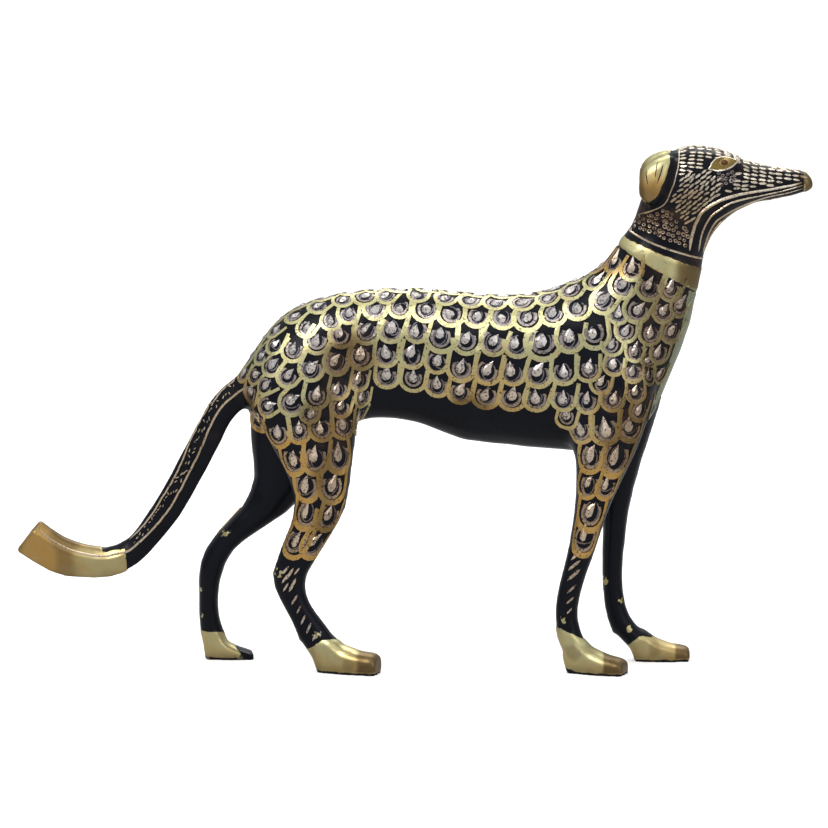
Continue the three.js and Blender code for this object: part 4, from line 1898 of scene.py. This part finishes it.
@dataclass
class Tail:
    """The graved tail: two bright lines down each side and ticks between them; the lower line goes on to the
    tip, where it is a painted highlight along the tail's ridge.
    """

    skin: Skin
    upper: Outline = (
        (-65.1, 111.3), (-69.2, 108.7), (-73.4, 106.1), (-76.0, 102.3), (-77.5, 98.6), (-81.3, 91.8),
        (-84.6, 85.0), (-87.6, 77.5), (-91.4, 70.0), (-95.2, 64.0), (-98.9, 58.0), (-103.4, 52.7),
        (-107.2, 48.9),
    )
    # Past the tail's bare end, from about x -108, the lower line is a bright bead along the ridge between the
    # tip's upper face and its side: a painted highlight.
    lower: Outline = (
        (-62.8, 106.8), (-66.6, 103.8), (-70.4, 100.8), (-73.0, 97.8), (-76.4, 91.8), (-78.9, 85.8),
        (-81.6, 79.8), (-84.9, 73.4), (-88.4, 66.6), (-92.3, 60.2), (-96.7, 54.6), (-101.9, 49.3),
        (-107.2, 44.8), (-110.9, 43.7), (-117.0, 42.6), (-123.0, 43.3), (-129.0, 44.8), (-134.3, 47.4),
        (-138.8, 50.4), (-141.8, 54.0),
    )
    upper_radius: float = 0.36
    lower_radius: float = 0.5
    knot_step: float = 1.6
    shake: float = 0.06
    tick: Stroke = Stroke(length=2.2, width=0.7, proud=0.22)
    tick_count: int = 55
    tick_way: Vector = field(default_factory=lambda: Vector((0.5, 0, 0.87)))

    def build(self) -> dict[str, bpy.types.Object]:
        """Runs the lines down both sides of the tail, with stray ticks between them.

        Returns:
            The pieces by name.
        """
        chance = random.Random(SEED + 3)
        # The stretch of the lower line that runs beside the upper one.
        beside = self.lower[:13]
        beads = []
        ticks = []
        for side in Side:
            for points, radius in ((self.upper, self.upper_radius), (self.lower, self.lower_radius)):
                way = []
                for x, z in smooth_line(points, self.knot_step):
                    across, up = x + chance.gauss(0, self.shake), z + chance.gauss(0, self.shake)
                    way.append(self.skin.seen(across, up, side, loose=True)[0])
                beads.append(self.skin.bead(way, radius, "line"))
            for number in range(3, self.tick_count - 1):
                share = number / self.tick_count
                a, b = along(self.upper, share), along(beside, share)
                part = chance.uniform(0.25, 0.75)
                found = self.skin.seen(a[0] + (b[0] - a[0]) * part, a[1] + (b[1] - a[1]) * part, side)
                if found is not None:
                    place = self.skin.place(*found, self.tick_way, chance.uniform(0.4, 0.9))
                    ticks.append(place.turned(chance.gauss(0, 30)))
        model = self.tick.model()
        lines = join(beads, "tail_lines")
        pieces = {"tail_lines": lines, "tail_ticks": self.skin.lay(model, ticks, "tail_ticks")}
        drop(model)
        return pieces


@dataclass
class Shins:
    """The slanting slashes cut down the front legs and hocks below the scales."""

    skin: Skin
    slash: Stroke = Stroke(length=6.4, width=1.5, proud=0.42)
    right: tuple[tuple[float, float, float, float], ...] = (
        (-47.9, 37.6, 52.0, 0.7),
        (-48.2, 34.4, 56.0, 0.75),
        (-47.9, 31.2, 58.0, 0.7),
        (-43.8, 37.2, 54.0, 0.6),
        (-45.4, 32.0, 64.0, 1.05),
        (-46.4, 36.2, 58.0, 0.95),
        (-44.7, 26.4, 60.0, 0.8),
        (-43.0, 22.8, 62.0, 0.62),
        (-41.4, 18.9, 66.0, 0.7),
        (-39.3, 15.7, 68.0, 0.8),
        (-37.1, 12.6, 66.0, 0.7),
        (-35.0, 13.4, 75.0, 0.4),
        (61.2, 43.3, 44.0, 1.0),
        (60.4, 39.4, 40.0, 1.1),
        (60.3, 35.8, 42.0, 1.15),
        (59.5, 30.5, 44.0, 0.85),
        (58.9, 26.2, 44.0, 0.7),
        (58.7, 22.3, 50.0, 0.55),
    )
    left: tuple[tuple[float, float, float, float], ...] = (
        (76.6, 43.0, 44.0, 1.0),
        (76.2, 39.0, 42.0, 1.05),
        (76.0, 34.8, 44.0, 0.9),
        (75.9, 30.6, 46.0, 0.8),
        (76.2, 26.4, 44.0, 0.7),
        (76.8, 22.4, 48.0, 0.55),
        (-72.6, 45.0, 58.0, 0.95),
        (-74.8, 40.6, 56.0, 0.95),
        (-76.6, 36.0, 60.0, 0.8),
        (-77.9, 31.0, 62.0, 0.75),
        (-78.9, 26.0, 64.0, 0.7),
        (-79.6, 21.2, 64.0, 0.6),
    )

    def build(self) -> bpy.types.Object:
        """Lays the slashes: the right flank's as traced in the view, the left one's by x and height.

        Returns:
            The piece.
        """
        places = []
        for across, up, lean, size in self.right:
            found = self.skin.seen(across, up, Side.RIGHT, loose=True)
            places.append(self.skin.place(*found, self.skin.view.way(lean), size))
        places.extend(self.skin.from_side(x, z, Side.LEFT, 90 - lean, size) for x, z, lean, size in self.left)
        model = self.slash.model()
        piece = self.skin.lay(model, places, "shin_slashes")
        drop(model)
        return piece


# Studio


@dataclass(frozen=True)
class Studio:
    """A pale floor, soft lamps and the photograph's view."""

    view: View
    distance: float = 3.75
    lens: float = 432.9

    def floor(self) -> None:
        """Lays the plain floor, which isn't part of the object."""
        select_only()
        bpy.ops.mesh.primitive_plane_add(size=6.0, location=(0, 0, 0))
        floor = bpy.context.object
        floor.name = "studio_floor"
        material = blank_material("studio_paper")
        tree = material.node_tree
        # White paper to the eye, and a mid grey in what the metal mirrors, so that its undersides darken.
        seen = add_node(tree, "LightPath").outputs["Is Camera Ray"]
        tint = add_node(
            tree, "Mix", {"Factor": seen, "A": linear("bdbdbd"), "B": linear("f4f3f1")}, data_type="RGBA"
        )
        lift = add_node(tree, "Math", {0: seen, 1: 0.3}, operation="MULTIPLY")
        shader = add_node(
            tree,
            "BsdfPrincipled",
            {
                "Base Color": tint,
                "Roughness": 0.9,
                "Emission Color": linear("ffffff"),
                "Emission Strength": lift,
            },
        )
        add_node(tree, "OutputMaterial", {"Surface": shader})
        floor.data.materials.append(material)

    def light(self) -> None:
        """Hangs the soft lamps and the pale surroundings."""
        world = bpy.data.worlds.new("studio")
        world.use_nodes = True
        tree = world.node_tree
        tree.nodes.clear()
        direction = add_node(tree, "TexCoord").outputs["Generated"]
        height = add_node(tree, "SeparateXYZ", {"Vector": direction}).outputs["Z"]
        # White above, and grey round the horizon so that the metal has something dark to show.
        glow = add_node(tree, "ValToRGB", {"Fac": height})
        horizon, zenith = glow.color_ramp.elements
        horizon.color = linear("8f8f92")
        zenith.position, zenith.color = 0.9, linear("ffffff")
        glow.color_ramp.elements.new(0.35).color = linear("c4c6cc")
        soft = add_node(tree, "Background", {"Color": glow, "Strength": 1.0})
        paper = add_node(tree, "Background", {"Color": linear("ffffff"), "Strength": 1.0})
        seen = add_node(tree, "LightPath").outputs["Is Camera Ray"]
        mixed = add_node(tree, "MixShader", {0: seen, 1: soft, 2: paper})
        add_node(tree, "OutputWorld", {"Surface": mixed})
        bpy.context.scene.world = world
        for name, place, size, watts in (
            ("key", (-0.6, -1.1, 1.3), 0.6, 12.0),
            ("fill", (1.0, -1.1, 0.5), 0.8, 3.5),
            ("rim", (0.1, 0.9, 1.2), 0.8, 7.0),
        ):
            data = bpy.data.lights.new(name, "AREA")
            data.energy = watts
            data.size = size
            lamp = bpy.data.objects.new(name, data)
            lamp.location = place
            lamp.rotation_euler = (Vector((0, 0, 0.1)) - Vector(place)).to_track_quat("-Z", "Y").to_euler()
            bpy.context.collection.objects.link(lamp)

    def camera(self) -> None:
        """Sets the camera at the photograph's viewing angle."""
        data = bpy.data.cameras.new("camera")
        data.lens = self.lens
        data.clip_start = 0.01
        camera = bpy.data.objects.new("camera", data)
        back = self.view.axes()[2]
        camera.location = Vector(self.view.aim) * MM + back * self.distance
        camera.rotation_euler = (-back).to_track_quat("-Z", "Y").to_euler()
        bpy.context.collection.objects.link(camera)
        bpy.context.scene.camera = camera

    def build(self) -> None:
        """Sets up the floor, the lamps and the camera."""
        bpy.context.scene.view_settings.view_transform = "Standard"
        self.floor()
        self.light()
        self.camera()


# The hound


class Hound:
    """The whole hound: the casting and everything laid on it."""

    def __init__(self) -> None:
        """Builds the casting and reads its skin."""
        self.finishes = Finishes()
        self.casting = Casting()
        self.base = self.casting.build()
        self.view = View()
        self.skin = Skin(self.base, self.casting.midline, self.view)
        self.tarnish_and_light = TarnishAndPaintedLight(self.casting)

    def dress(self, piece: bpy.types.Object, material: bpy.types.Material, smooth: bool = False) -> None:
        """Gives a piece its finish and tone and lets it ride on the casting's body.

        Args:
            piece: The piece.
            material: Its finish.
            smooth: Whether its faces are shaded as one curved surface.
        """
        piece.data.materials.clear()
        piece.data.materials.append(material)
        if smooth:
            select_only(piece)
            bpy.ops.object.shade_smooth_by_angle(angle=math.radians(40))
        self.tarnish_and_light.paint(piece)
        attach(piece, "root")
        LOG.info("%s: %d faces", piece.name, len(piece.data.polygons))

    def build(self) -> None:
        """Builds and dresses every piece."""
        looks = self.finishes
        self.dress(self.base, looks.casting)
        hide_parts("hound")
        coat = Coat(self.skin, self.casting)
        scales = coat.build(coat.places(self.casting.gouges))
        self.dress(scales["scale_bands"], looks.band)
        self.dress(scales["scale_rings"], looks.ring)
        self.dress(scales["scale_burrs"], looks.burr)
        self.dress(scales["scale_facets"], looks.cut)
        head = Head(self.skin).build()
        self.dress(head["head_hair"], looks.hair)
        self.dress(head["nape_ringlets"], looks.ring)
        self.dress(head["eye_curls"], looks.ring)
        self.dress(head["head_ridges"], looks.hair, smooth=True)
        self.dress(head["ear_creases"], looks.line, smooth=True)
        eye = Eye(self.skin).build()
        self.dress(eye["eye_rims"], looks.hair, smooth=True)
        self.dress(eye["eye_lids"], looks.eye, smooth=True)
        self.dress(eye["eye_irises"], looks.band, smooth=True)
        self.dress(eye["eye_rings"], looks.iris, smooth=True)
        self.dress(eye["eye_pupils"], looks.iris, smooth=True)
        collar = Collar(self.skin, self.casting).build()
        self.dress(collar["collar_bead"], looks.hair, smooth=True)
        self.dress(collar["collar_scratches"], looks.line, smooth=True)
        tail = Tail(self.skin).build()
        self.dress(tail["tail_lines"], looks.hair, smooth=True)
        self.dress(tail["tail_ticks"], looks.hair)
        self.dress(Shins(self.skin).build(), looks.cut)


def main() -> None:
    """Builds the hound and its studio."""
    logging.basicConfig(level=logging.INFO, format="%(name)s: %(message)s")
    hound = Hound()
    hound.build()
    Studio(hound.view).build()


if __name__ == "__main__":
    main()
